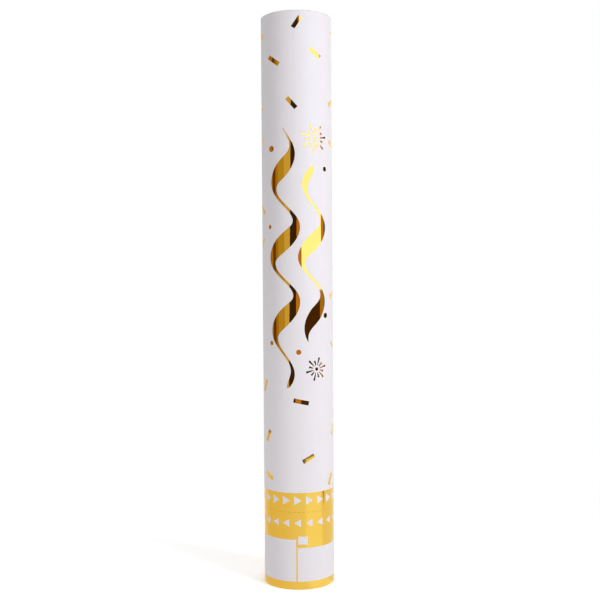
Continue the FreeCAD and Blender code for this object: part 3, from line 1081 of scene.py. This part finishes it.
@dataclass
class Print:
    """Flat shapes that are cut at the wrap's flats and rolled on as one thin layer."""

    ground: float  # radius of the face that it is printed on
    sink: float = 0.005  # how far the layer starts below that face
    thickness: float = 0.03
    near: float = 1e-4  # how close to a cut a point counts as on it
    shapes: list[Piece] = field(default_factory=list)

    @property
    def radius(self) -> float:
        """The radius at which the shapes are rolled."""
        return self.ground - self.sink

    def along(self, azimuth: float) -> float:
        """How far along the girth an azimuth in degrees from the front is."""
        return math.radians(azimuth) * self.radius

    def stamp(self, pattern: Piece, moves: Iterable[Matrix]) -> None:
        """Copies a flat pattern by each move and discards it."""
        self.shapes.extend(copied(pattern, move) for move in moves)
        bpy.data.objects.remove(pattern)

    def rolled(self, name: str) -> Piece:
        """Cuts the shapes at the flats, gives them their thickness and rolls them round the tube.

        Args:
            name: the finished layer's name.

        Returns:
            The layer, in metres, in its place.
        """
        layer = joined(name, self.shapes)
        edges = [corner.co.x for corner in layer.data.vertices]
        pitch = FLAT_ANGLE * self.radius
        flats = range(math.ceil(min(edges) / pitch), math.floor(max(edges) / pitch) + 1)
        cut(layer, RIGHT, (flat * pitch for flat in flats), self.near)
        thicken(layer, self.thickness, 1)
        turn = (max(edges) - min(edges)) / self.radius
        apply_modifier(layer, "SIMPLE_DEFORM", deform_method="BEND", deform_axis="Z", angle=turn)
        layer.data.transform(Matrix.Scale(MM, 4) @ Matrix.Translation((0, -self.radius, 0)))
        smooth(layer)
        return layer


# --- Wraps, in millimetres and degrees ---
@dataclass
class Dressing:
    """What both printed wraps share: their seam, the lap of the sheet behind and the arrows."""

    seam: float = 54.0
    seam_gap: float = 0.008  # from the seam to each wrap
    nick_depth: float = 0.12
    nick_every: int = 6  # flats
    edge_near: float = 0.01  # how close to an edge a point counts as on it
    paper_inside: float = 24.7
    foil_radius: float = 24.955
    lap_edge: float = 128.75  # azimuth of the ledge where the sheet's end lies over its start
    lap_settled: float = 147.5  # azimuth where the sheet has settled back
    lap_step: float = 0.1
    lap_slack: float = 0.001  # share by which a point on the ledge may seem to be past it
    lap_inside: float = 24.8  # points nearer the axis aren't raised
    arrow_count: int = 19

    def rolled_sheet(
        self, name: str, finish: Finish, radii: tuple[float, float], foot: float, top: float, rows: Iterable[float] = ()
    ) -> Piece:
        """Rolls a sheet into a tube and nicks it at the seam, where the wraps part when the barrel turns.

        Args:
            name: the piece's name.
            finish: what covers it.
            radii: radius of the face that is rolled and of the other one.
            foot: height of its lower edge.
            top: height of its upper edge.
            rows: heights at which it is cut all round.

        Returns:
            The sheet.
        """
        radius, other = radii
        sheet = open_tube(name, radius * MM, foot * MM, top * MM)
        cut(sheet, UP, (row * MM for row in rows), NEAR)
        thicken(sheet, abs(other - radius) * MM, math.copysign(1, other - radius))
        face_outwards(sheet)
        edge, reach = (foot, self.nick_depth) if foot > self.seam else (top, -self.nick_depth)
        for corner in sheet.data.vertices:
            flat = round(math.radians(azimuth_of(corner.co)) / FLAT_ANGLE)
            if abs(corner.co.z - edge * MM) < self.edge_near * MM and flat % self.nick_every == 0:
                corner.co.z += reach * MM
        smooth(sheet)
        finish.cover(sheet)
        return sheet

    def raise_lap(self, *layers: Piece) -> None:
        """Lifts a sheet and what is printed on it where its end lies over its start.

        Args:
            layers: the sheet and its prints.
        """
        for layer in layers:
            for corner in layer.data.vertices:
                share = (self.lap_settled - azimuth_of(corner.co)) / (self.lap_settled - self.lap_edge)
                if 0 < share < 1 + self.lap_slack and corner.co.xy.length > self.lap_inside * MM:
                    corner.co += Vector((*corner.co.xy.normalized(), 0)) * (self.lap_step * share * MM)

    def inked(self, sheet: Print, name: str) -> Piece:
        """Rolls on a print of white ink.

        Args:
            sheet: the flat shapes.
            name: the piece's name.

        Returns:
            The print.
        """
        made = sheet.rolled(name)
        WHITE_INK.cover(made)
        return made

    def arrows(self, name: str, first: float, height: float, base: float, reach: float) -> Piece:
        """Prints a row of triangles that show which way to turn.

        Args:
            name: the piece's name.
            first: azimuth of one triangle's upright side.
            height: height of the row's middle.
            base: length of the upright side.
            reach: how far the tip is from it, to the right, or to the left if below 0.

        Returns:
            The row.
        """
        row = Print(self.foil_radius)
        side, rise = math.sqrt(3), 3 / 2  # of a triangle whose corners are 1 from its middle
        tilt, size = 0 if reach > 0 else 180, (abs(reach) / rise, base / side)
        azimuths = ((first + 360 * index / self.arrow_count + 180) % 360 - 180 for index in range(self.arrow_count))
        middles = (Spot(row.along(azimuth) + reach / 3, height) for azimuth in azimuths)
        row.stamp(polygon(3), [middle.placed(tilt, size) for middle in middles])
        return self.inked(row, name)


@dataclass
class GripDressing(Dressing):
    """The gold base that the hand holds while the barrel is turned.

    Its white fields are stated as the azimuths of their sides and the heights of their lower and upper edges.
    """

    foot: float = 0.2
    left_panel: tuple[float, float, float, float] = (-150.0, -5.0, 5.7, 34.9)
    right_panel: tuple[float, float, float, float] = (-2.5, 120.0, 5.7, 29.2)
    patch: tuple[float, float, float, float] = (-1.6, 13.8, 31.5, 37.1)

    def wrap(self) -> Piece:
        """Wraps the grip in foil paper.

        Returns:
            The sheet.
        """
        radii = (self.foil_radius, self.paper_inside)
        sheet = self.rolled_sheet("grip_foil_wrap", GOLD_FOIL, radii, self.foot, self.seam - self.seam_gap)
        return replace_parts(sheet, "grip_wrap")

    def panels(self) -> Piece:
        """Prints the plain white panels round the foot.

        Returns:
            The print.
        """
        sheet = Print(self.foil_radius)
        moves = []
        for left, right, foot, top in (self.left_panel, self.right_panel, self.patch):
            start, end = sheet.along(left), sheet.along(right)
            moves.append(Spot((start + end) / 2, (foot + top) / 2).placed(0, (end - start, top - foot)))
        sheet.stamp(slab(), moves)
        return self.inked(sheet, "grip_white_panels")

    def build(self) -> list[Piece]:
        """Makes the grip's wrap and what is printed on it.

        Returns:
            The pieces.
        """
        pieces = [self.wrap(), self.panels(), self.arrows("grip_arrows", first=2.8, height=46.4, base=5.3, reach=-4.6)]
        self.raise_lap(*pieces)
        for piece in pieces:
            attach(piece, "grip")
        return pieces


@dataclass
class BarrelDressing(Dressing):
    """The white barrel with its gold print."""

    paper_radius: float = 24.925
    top: float = 399.8
    band_top: float = 67.4
    band_rows: tuple[float, ...] = (-11, -9, -7.5, -6, -5, -4, -3, -2, -1)  # cuts from the band's top, for the crease
    paper_rows: tuple[float, ...] = (0.001, 1.5)  # and those of the paper above the band
    crease_depth: float = 0.05
    crease_width: float = 0.8
    crease_foot: float = 2.0  # from the seam up to where it starts
    crease_full: float = 3.0  # from the band's top down to where it is deepest
    crease_ease: float = 1.2  # from the band's top up to where it is gone
    crease_reach: float = 0.06  # points deeper in the paper stay
    ray_root: float = 0.3  # a ray's inner end, as a share of its width
    dot_sides: int = 20
    flecks: tuple[Fleck, ...] = (
        Fleck(0.4, 391.8, 55, 9.2),
        Fleck(-33.4, 387.2, -32),
        Fleck(36.8, 390.2, 30),
        Fleck(13.7, 371.3, -32, 9.8),
        Fleck(-17.0, 366.7, -34, 10.8),
        Fleck(-3.5, 336.7, -48, 9.6),
        Fleck(31.6, 339.3, 27),
        Fleck(-35.0, 332.8, 40),
        Fleck(-35.5, 310.6, 42),
        Fleck(31.7, 310.0, -32, 9.0),
        Fleck(-31.4, 264.5, -40),
        Fleck(-32.9, 240.8, 46),
        Fleck(33.0, 205.0, 24),
        Fleck(33.5, 168.0, -40),
        Fleck(-29.0, 140.8, 62, 9.1),
        Fleck(2.0, 130.6, -12, 10.8),
        Fleck(-25.0, 105.8, 62, 8.8),
        Fleck(31.9, 109.2, 60, 8.8),
        Fleck(7.0, 91.0, 28, 9.2),
        Fleck(-24.7, 77.8, -25),
        Fleck(27.0, 74.5, 62, 8.8),
    )
    streamers: tuple[Streamer, ...] = (
        Streamer(-9.5, 140.0, 180.0, 9.0, 52.0, 20.0, 11.0, 1.8),
        Streamer(11.5, 172.0, 122.0, 8.5, 52.0, 241.5, 10.0, 1.7),
        Streamer(-62.0, 150.0, 150.0, 8.5, 52.0, 20.0, 10.0, 1.7),
    )
    bursts: tuple[Burst, ...] = (
        Burst(13.0, 312.5, 14, 3.2, 10.0, 8.0, 1.5),
        Burst(13.5, 153.0, 12, 2.6, 8.2, 15.0, 1.2),
        Burst(-60.0, 325.0, 14, 3.2, 10.0, 0.0, 1.5),
    )
    dots: tuple[Dot, ...] = (
        Dot(-19.5, 306.0, 2.2),
        Dot(0.5, 165.0, 1.8),
        Dot(22.0, 292.0, 1.7),
        Dot(-21.5, 252.0, 1.5),
        Dot(-20.5, 171.0, 1.6),
        Dot(22.0, 190.0, 1.9),
    )

    def wrap(self) -> Piece:
        """Wraps the barrel in white paper.

        Returns:
            The sheet.
        """
        radii = (self.paper_radius, self.paper_inside)
        rows = [self.band_top + row for row in self.band_rows + self.paper_rows]
        sheet = self.rolled_sheet("barrel_paper_wrap", WHITE_PAPER, radii, self.seam + self.seam_gap, self.top, rows)
        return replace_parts(sheet, "barrel_wrap")

    def band(self) -> Piece:
        """Prints the foil band above the seam.

        Returns:
            The band.
        """
        radii = (self.paper_radius - Print.sink, self.foil_radius)
        foot, rows = self.seam + self.seam_gap, [self.band_top + row for row in self.band_rows]
        sheet = self.rolled_sheet("barrel_foil_band", BAND_FOIL, radii, foot, self.band_top, rows)
        return sheet

    def gold_print(self) -> Piece:
        """Prints the gold flecks, streamers, bursts and dots.

        Returns:
            The print.
        """
        sheet = Print(self.paper_radius)
        strewn = Scatter(math.pi * self.paper_radius).flecks((*self.streamers, *self.bursts))
        sheet.stamp(slab(), [fleck.move() for fleck in (*self.flecks, *strewn)])
        sheet.shapes.extend(streamer.drawn() for streamer in self.streamers)
        ray = slab()
        with editing(ray, Pick.EDGES):
            select_where(ray, Pick.EDGES, lambda middle: middle.x < -0.4)  # its left side, at -0.5
            bpy.ops.transform.resize(value=(1, 1, self.ray_root))
        sheet.stamp(ray, [move for burst in self.bursts for move in burst.moves()])
        hubs = [Dot(burst.along, burst.up, burst.hub) for burst in self.bursts]
        sheet.stamp(polygon(self.dot_sides), [dot.move() for dot in (*hubs, *self.dots)])
        made = sheet.rolled("barrel_gold_print")
        GOLD_FOIL.cover(made)
        return made

    def press_crease(self, *layers: Piece) -> None:
        """Presses the small upright crease into the band and what lies over and under it.

        Args:
            layers: the pieces that the crease runs through.
        """
        for layer in layers:
            for corner in layer.data.vertices:
                aside = math.radians(azimuth_of(corner.co) - CREASE_AZIMUTH) * self.foil_radius / self.crease_width
                depth = self.crease_depth * math.exp(-aside * aside) * self.crease_share(corner.co.z / MM)
                flat = Vector((corner.co.x, corner.co.y, 0))
                if flat.length > (self.paper_radius - self.crease_reach) * MM:
                    corner.co -= flat.normalized() * (depth * MM)

    def crease_share(self, height: float) -> float:
        """How much of its depth the crease has at a height.

        Args:
            height: the height.

        Returns:
            0 near the seam and just above the band, and 1 at the band's top.
        """
        start, full = self.seam + self.crease_foot, self.band_top - self.crease_full
        rise = min(1.0, (height - start) / (full - start))
        return max(0.0, min(rise, (self.band_top + self.crease_ease - height) / self.crease_ease))

    def build(self) -> list[Piece]:
        """Makes the barrel's wrap and what is printed on it.

        Returns:
            The pieces.
        """
        pieces = [self.wrap(), self.band()]
        pieces.append(self.arrows("barrel_arrows", first=-7.7, height=62.1, base=6.2, reach=5.1))
        self.press_crease(*pieces)
        pieces.append(self.gold_print())
        self.raise_lap(*pieces)
        for piece in pieces:
            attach(piece, "barrel")
        return pieces


# --- Mouth, payload and workings, in millimetres and degrees ---
def foamed(piece: Piece, node: str, rounding: float, segments: int) -> Piece:
    """Finishes a foam piece, with softened rims.

    Args:
        piece: its mesh.
        node: the solid that it replaces.
        rounding: radius of its rims.
        segments: flats of a rim.

    Returns:
        The piece.
    """
    face_outwards(piece)
    steep = math.radians(60)
    apply_modifier(piece, "BEVEL", width=rounding * MM, segments=segments, limit_method="ANGLE", angle_limit=steep)
    smooth(piece, angle=60)
    WHITE_FOAM.cover(piece)
    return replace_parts(piece, node)
@dataclass
class MouthSeal:
    """The foil cup that closes the muzzle until the gas bursts it."""

    radius: float = 22.5
    face: float = 396.95
    skirt_top: float = 399.45
    foil: float = 0.06
    rings: int = 16
    folds: int = 9
    fold_offset: float = 16.0  # furthest fold from the middle
    fold_widths: tuple[float, float] = (3, 7)
    crinkle: float = 0.7  # height of all the folds where they meet
    fold_sink: float = 0.3  # of a fold's height, by which the face between folds is lower
    pleats: int = 24
    pleat_height: float = 0.1
    pleat_place: float = 0.9  # as a share of the radius
    pleat_width: float = 4
    lowest: float = -0.15
    highest: float = 0.5
    flat_rim: float = 2  # over which the wrinkles fade out
    seed: int = 4

    def build(self) -> Piece:
        """Draws the cup, crinkles its face and turns its skirt up.

        Returns:
            The seal.
        """
        seal = disc("mouth_foil_seal", self.radius * MM, self.face * MM, sides=144)
        with editing(seal, Pick.FACES):
            bpy.ops.mesh.select_all(action="SELECT")
            for _ in range(self.rings):
                bpy.ops.mesh.inset(thickness=self.radius * MM / (self.rings + 1))
            bpy.ops.mesh.poke()
        self.wrinkle(seal)
        with editing(seal, Pick.EDGES):
            select_where(seal, Pick.EDGES, lambda middle: middle.xy.length > (self.radius - self.foil) * MM)
            rise = (self.skirt_top - self.face) * MM
            bpy.ops.mesh.extrude_region_move(TRANSFORM_OT_translate={"value": (0, 0, rise)})
            sort_faces(seal)
        thicken(seal, self.foil * MM, -1)
        face_outwards(seal)
        smooth(seal, angle=50)
        SEAL_FOIL.cover(seal)
        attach(seal, "barrel")
        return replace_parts(seal, "mouth_seal")

    def wrinkle(self, seal: Piece) -> None:
        """Folds the face along a few straight creases and radial pleats.

        Args:
            seal: the flat disc.
        """
        chance = Random(self.seed)
        offset, widths = self.fold_offset, self.fold_widths
        folds = [
            (chance.uniform(0, math.pi), chance.uniform(-offset, offset), chance.uniform(*widths))
            for _ in range(self.folds)
        ]
        for corner in seal.data.vertices:
            flat = corner.co.xy / MM
            radius, angle = flat.length, math.atan2(flat.y, flat.x)
            rim = max(0.0, 1 - abs(radius - self.radius * self.pleat_place) / self.pleat_width)
            height = self.pleat_height * rim * math.cos(self.pleats * angle)
            for direction, offset, width in folds:
                across = flat.x * math.cos(direction) + flat.y * math.sin(direction) - offset
                height += self.crinkle / self.folds * (max(0.0, 1 - abs(across) / width) - self.fold_sink)
            inside = min(1.0, (self.radius - radius) / self.flat_rim)
            corner.co.z += max(self.lowest, min(self.highest, height)) * inside * MM


@dataclass
class PayloadDressing:
    """What the gas throws out: wads and stacked foil slips."""

    slip_width: float = 17.0
    slip_length: float = 50.0
    slip_thickness: float = 0.2
    slip_bow: float = 0.12
    layer_gap: float = 0.6
    layer_turn: float = 45.0
    stack_pitch: float = 0.55
    stack_gap: float = 0.6
    stack_radius: float = 22.05  # that the slips' corners stay within
    inner_margin: float = 0.25  # before a stack's first slip
    outer_margin: float = 0.25  # between the furthest slips' corners and that radius
    both_margins: float = 0.4
    sway: float = 0.12  # of a slip to each side
    stagger: float = 0.25  # of a slip up and down
    wad_rounding: float = 0.9
    seed: int = 7

    def slip(self) -> Piece:
        """Cuts one foil slip, standing on its short edge and a little bowed.

        Returns:
            The slip, to copy.
        """
        bpy.ops.mesh.primitive_grid_add(
            x_subdivisions=2, y_subdivisions=6, size=1, rotation=(math.pi / 2, 0, math.pi / 2)
        )
        slip = added("slip")
        size = (1, self.slip_width * MM, (self.slip_length - self.layer_gap) * MM, 1)
        slip.data.transform(Matrix.Diagonal(size))
        for corner in slip.data.vertices:
            share = corner.co.z / (self.slip_length * MM)
            corner.co.x = self.slip_bow * MM * math.cos(math.pi * share)
        thicken(slip, self.slip_thickness * MM, 0)
        return slip

    def stack(self, start: float, chance: Random) -> Iterator[tuple[float, float, float]]:
        """Sets out one stack of a layer, outwards from near the axis.

        Args:
            start: how far its inner face is from the axis.
            chance: gives each slip's small shifts.

        Returns:
            How far out, aside and up each slip is from the layer's middle.
        """
        reach = math.sqrt(self.stack_radius**2 - (self.slip_width / 2) ** 2) - self.outer_margin
        count = int((reach - start) / self.stack_pitch)
        for index in range(count):
            depth = start + self.inner_margin + (index + 0.5) * (reach - start - self.both_margins) / count
            yield depth, chance.uniform(-self.sway, self.sway), chance.uniform(-self.stagger, self.stagger)

    def stacks(self) -> Piece:
        """Stands the slips in four stacks a layer, each layer turned on the one below.

        Returns:
            The slips.
        """
        low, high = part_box("confetti_stacks")
        layers = round((high.z - low.z) / MM / self.slip_length)
        starts = (self.stack_gap / 2, self.slip_width / 2 + self.stack_gap)
        chance = Random(self.seed)
        pattern = self.slip()
        slips = []
        for layer in range(layers):
            height = low.z / MM + (layer + 0.5) * self.slip_length
            for quarter in range(4):
                turned = Matrix.Rotation(math.radians(layer * self.layer_turn + quarter * 90), 4, "Z")
                for depth, side, rise in self.stack(starts[quarter % 2], chance):
                    place = Matrix.Translation((depth * MM, side * MM, (height + rise) * MM))
                    slips.append(copied(pattern, turned @ place))
        bpy.data.objects.remove(pattern)
        made = joined("confetti_slips", slips)
        smooth(made)
        SLIP_FOIL.cover(made)
        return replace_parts(made, "confetti_stacks")

    def wad(self) -> Piece:
        """Cuts the foam wad.

        Returns:
            The wad.
        """
        low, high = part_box("foam_wad")
        wad = disc("foam_disc", high.x, low.z)
        with editing(wad, Pick.FACES):
            bpy.ops.mesh.select_all(action="SELECT")
            bpy.ops.mesh.extrude_region_move(TRANSFORM_OT_translate={"value": (0, 0, high.z - low.z)})
        return foamed(wad, "foam_wad", self.wad_rounding, segments=4)

    def build(self) -> list[Piece]:
        """Makes the foam wad and the slips.

        Returns:
            The pieces.
        """
        pieces = [self.wad(), self.stacks()]
        for piece in pieces:
            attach(piece, "payload")
        return pieces


@dataclass
class Workings:
    """The CAD's own pieces that keep their shape, and the bottle's foam ring."""

    ring_width: float = 6.0
    ring_rounding: float = 0.35
    finishes: tuple[tuple[Finish, tuple[str, ...]], ...] = (
        (GREY_BOARD, ("grip_tube", "barrel_tube", "pusher_disc")),
        (WHITE_PLASTIC, ("base_plug", "coupler", "bearing_ring", "drive_spider", "valve_plug")),
        (ALUMINIUM, ("gas_bottle", "crimp_ring")),
        (BRASS, ("valve_body",)),
        (STEEL, ("drive_pin",)),
        (BLACK_RUBBER, ("fill_bung", "neck_gasket", "plug_seal")),
        (TISSUE, ("top_disc",)),
    )

    def dress(self) -> None:
        """Gives each kept CAD piece its finish."""
        for finish, nodes in self.finishes:
            finish.cover(*(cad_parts[node] for node in nodes))
            log.info("%s: %s", finish.name, ", ".join(nodes))

    def foam_ring(self) -> Piece:
        """Makes the foam ring under the bottle.

        Returns:
            The ring.
        """
        low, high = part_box("bottle_pad")
        ring = open_tube("bottle_foam_ring", high.x, low.z, high.z, sides=96)
        thicken(ring, self.ring_width * MM, -1)
        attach(ring, "grip")
        return foamed(ring, "bottle_pad", self.ring_rounding, segments=3)


# --- Studio, in metres and degrees ---
@dataclass(frozen=True)
class Card:
    """A curved card near the popper, between two azimuths, that only its foil reflects: it glows as a painted
    reflection and lights nothing else.
    """

    name: str
    start: float
    end: float
    foot: float
    top: float
    glow: Colour
    distance: float = 0.5
    lean: float = 0.0  # to the right for each metre above its middle
    middle: float = 0.25
    slant: float = 0.0  # of its foot, up to the right for each degree
    flats: int = 720  # in a full turn

    def stand(self) -> None:
        """Stands the card in its place."""
        card = open_tube(self.name, self.distance, self.foot, self.top, self.flats)
        with editing(card, Pick.FACES):
            select_where(card, Pick.FACES, lambda middle: not self.start < azimuth_of(middle) < self.end)
            bpy.ops.mesh.delete(type="FACE")
        for corner in card.data.vertices:
            if corner.co.z < self.foot + MM:
                corner.co.z += self.slant * (azimuth_of(corner.co) - self.start)
            turn = math.radians(self.lean * (corner.co.z - self.middle))
            corner.co.rotate(Matrix.Rotation(turn, 3, "Z"))
        made = bpy.data.materials.new(self.name)
        wiring = Wiring.blank(made)
        light = wiring.node("Emission", {"Color": (*self.glow, 1), "Strength": 1.0})
        wiring.node("OutputMaterial", {"Surface": light.outputs[0]})
        card.data.materials.append(made)
        for ray in ("camera", "diffuse", "transmission", "volume_scatter", "shadow"):
            setattr(card, "visible_" + ray, False)
        card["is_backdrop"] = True


@dataclass(frozen=True)
class Lamp:
    """A soft rectangular lamp aimed at the popper."""

    name: str
    azimuth: float
    height: float
    distance: float
    size: tuple[float, float]
    watts: float

    def hang(self, aim: Vector) -> None:
        """Hangs the lamp and turns it to a point.

        Args:
            aim: the point that it faces.
        """
        light = bpy.data.lights.new(self.name, "AREA")
        light.shape = "RECTANGLE"
        light.size, light.size_y = self.size
        light.energy = self.watts
        lamp = bpy.data.objects.new(self.name, light)
        angle = math.radians(self.azimuth)
        lamp.location = (self.distance * math.sin(angle), -self.distance * math.cos(angle), self.height)
        lamp.rotation_euler = (aim - lamp.location).to_track_quat("-Z", "Y").to_euler()
        lamp.visible_glossy = False
        bpy.context.collection.objects.link(lamp)


@dataclass
class Studio:
    """A pale floor that fades into white, a large key lamp on the right and dark gaps between the cards."""

    ambient: float = 0.555
    floor_radius: float = 6.0
    floor_colour: float = 0.95
    floor_seen: float = 1.75
    fade: tuple[float, float] = (0.06, 0.4)
    mirror_gain: float = 1.25
    mirror_stops: tuple[tuple[float, Colour], ...] = (
        (-130, (0.82, 0.8, 0.75)),
        (-100, (0.77, 0.72, 0.56)),
        (-45, (0.82, 0.79, 0.66)),
        (-5, (0.88, 0.9, 0.94)),
        (16, (0.9, 0.94, 1.0)),
        (26, (1.02, 1.09, 1.2)),
        (70, (1.02, 1.09, 1.2)),
        (80, (0.9, 0.93, 1.0)),
        (125, (0.9, 0.92, 0.95)),
    )
    aim: Vector = field(default_factory=lambda: Vector((0, 0, 0.2)))
    lamps: tuple[Lamp, ...] = (
        Lamp("key", 48, 0.5, 1.35, (0.5, 0.8), 7.9),
        Lamp("table_bounce", -68, 0.03, 0.28, (0.12, 0.05), 0.066),
    )
    cards: tuple[Card, ...] = (
        Card("back_left", -178, -118, 0.0, 0.9, (0.66, 0.62, 0.6)),
        Card("left_wall", -118, -64, 0.03, 0.7, (0.37, 0.22, 0.04)),
        Card("left_foot", -118, -64, 0.0, 0.03, (0.72, 0.62, 0.45)),
        Card("left_seam", -84, -73, 0.03, 0.7, (0.12, 0.055, 0.017), 0.49),
        Card("left_wing", -64, -42, 0.0, 0.7, (0.46, 0.36, 0.11)),
        Card("left_bright", -42, -12, 0.0, 0.7, (0.61, 0.52, 0.32)),
        Card("dark_gap", -24, -3, 0.0, 0.7, (0.04, 0.022, 0.012), 0.49, 35.0),
        Card("warm_edge", -12, 13, 0.0, 0.9, (0.5, 0.26, 0.06)),
        Card("soft_box", 13, 82, 0.203, 0.9, (1.4, 1.6, 2.7), lean=-12.0),
        Card("box_stand", 9, 76, 0.01, 0.203, (0.06, 0.027, 0.008), 0.495),
        Card("stand_foot", 2, 76, -0.0014, 0.014, (0.12, 0.05, 0.006), 0.48, slant=0.0002),
        Card("stand_edge", 76, 94, 0.0, 0.203, (0.42, 0.24, 0.06)),
        Card("right_edge", 74, 94, 0.203, 0.7, (0.5, 0.28, 0.08), 0.505),
        Card("right_gap", 94, 112, 0.0, 0.7, (0.05, 0.028, 0.015)),
        Card("ceiling_rim", -180, 180, 0.95, 1.35, (0.3, 0.27, 0.24), 0.35),
    )

    def floor(self) -> None:
        """Lays the floor: pale, seen as white where nothing shades it, and glowing in the foil with a painted
        reflection.
        """
        floor = disc("floor", self.floor_radius, height=0, sides=128)
        made = bpy.data.materials.new("floor")
        wiring = Wiring.blank(made)
        path = wiring.node("LightPath").outputs
        tone = wiring.tinted(path["Is Camera Ray"], (self.floor_colour,) * 3, (self.floor_seen,) * 3)
        matte = wiring.node("BsdfDiffuse", {"Color": tone})
        place = wiring.place()
        ends = {"Value": wiring.length(place), "From Min": self.fade[0], "From Max": self.fade[1]}
        faded = wiring.node("MapRange", ends, interpolation_type="SMOOTHSTEP").outputs[0]
        white = wiring.calc("MULTIPLY", faded, path["Is Camera Ray"])
        # painted reflection: for glossy rays the floor glows with colours set by azimuth instead of its lit shade
        tint = wiring.tinted(path["Is Glossy Ray"], (1 / self.mirror_gain,) * 3, self.mirrored(wiring, place))
        glow = wiring.node("Emission", {"Color": tint, "Strength": self.mirror_gain})
        share = wiring.calc("MAXIMUM", white, path["Is Glossy Ray"])
        surface = wiring.node("MixShader", {0: share, 1: matte.outputs[0], 2: glow.outputs[0]})
        wiring.node("OutputMaterial", {"Surface": surface.outputs[0]})
        floor.data.materials.append(made)
        floor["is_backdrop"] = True

    def mirrored(self, wiring: Wiring, place: Socket) -> Socket:
        """The painted reflection that the foil sees on the floor: dim and warm on the left, bright under the key lamp.

        Args:
            wiring: the floor material's nodes.
            place: the floor point's place.

        Returns:
            The colour's socket.
        """
        turn = wiring.azimuth(wiring.axes(place))
        ramp = wiring.node("ValToRGB", {0: wiring.ranged(turn, 0.0, 1.0, -math.pi, math.pi)})
        stops = ramp.color_ramp.elements
        for azimuth, colour in self.mirror_stops:
            stop = stops.new((azimuth + 180) / 360)
            stop.color = (*(channel / self.mirror_gain for channel in colour), 1)
        for stop in (stops[0], stops[-1]):
            stop.color = (1 / self.mirror_gain,) * 3 + (1,)
        return ramp.outputs[0]

    def world(self) -> None:
        """Makes the world white where it is seen or reflected and a soft grey where it lights."""
        world = bpy.context.scene.world = bpy.data.worlds.new("studio")
        wiring = Wiring.blank(world)
        path = wiring.node("LightPath").outputs
        shown = wiring.calc("MAXIMUM", path["Is Camera Ray"], path["Is Glossy Ray"])
        shown = wiring.calc("MAXIMUM", shown, path["Is Transmission Ray"])
        ambient, white = (
            wiring.node("Background", {"Color": (1, 1, 1, 1), "Strength": strength}).outputs[0]
            for strength in (self.ambient, 1.0)
        )
        mixed = wiring.node("MixShader", {0: shown, 1: ambient, 2: white})
        wiring.node("OutputWorld", {"Surface": mixed.outputs[0]})

    def build(self) -> None:
        """Sets floor, world, lamps and cards, and the plain view transform."""
        self.floor()
        self.world()
        for lamp in self.lamps:
            lamp.hang(self.aim)
        for card in self.cards:
            card.stand()
        bpy.context.scene.view_settings.view_transform = "Standard"


@dataclass
class Viewpoint:
    """The camera at the photograph's place."""

    distance: float = 0.68
    height: float = 0.215
    sideways: float = 0.0016
    pitch: float = -1.215
    roll: float = -0.39
    lens: float = 57.04
    film: float = 36.0

    def build(self) -> None:
        """Sets the camera up and makes it the scene's own."""
        lens = bpy.data.cameras.new("camera")
        lens.lens = self.lens
        lens.sensor_width = self.film
        camera = bpy.data.objects.new("camera", lens)
        camera.location = (self.sideways, -self.distance, self.height)
        level = Euler((math.radians(90 + self.pitch), 0, 0)).to_matrix()
        camera.rotation_euler = (level @ Matrix.Rotation(math.radians(self.roll), 3, "Z")).to_euler()
        bpy.context.collection.objects.link(camera)
        bpy.context.scene.camera = camera


def write_sizes() -> None:
    """Works out the CAD's box and the dressed part's box side by side."""
    boxes = {"cad": CAD_BOX, "visual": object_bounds()}
    {key: [list(corner) for corner in box] for key, box in boxes.items()}


def main() -> None:
    """Builds the view, the dressings and the studio in order, and reports each piece."""
    logging.basicConfig(level=logging.INFO, format="%(name)s: %(message)s")
    Viewpoint().build()
    Workings().dress()
    pieces = [
        *BarrelDressing().build(),
        *GripDressing().build(),
        MouthSeal().build(),
        Workings().foam_ring(),
        *PayloadDressing().build(),
    ]
    for piece in pieces:
        log.info("%s: %d faces", piece.name, len(piece.data.polygons))
    Studio().build()
    write_sizes()


if __name__ == "__main__":
    main()
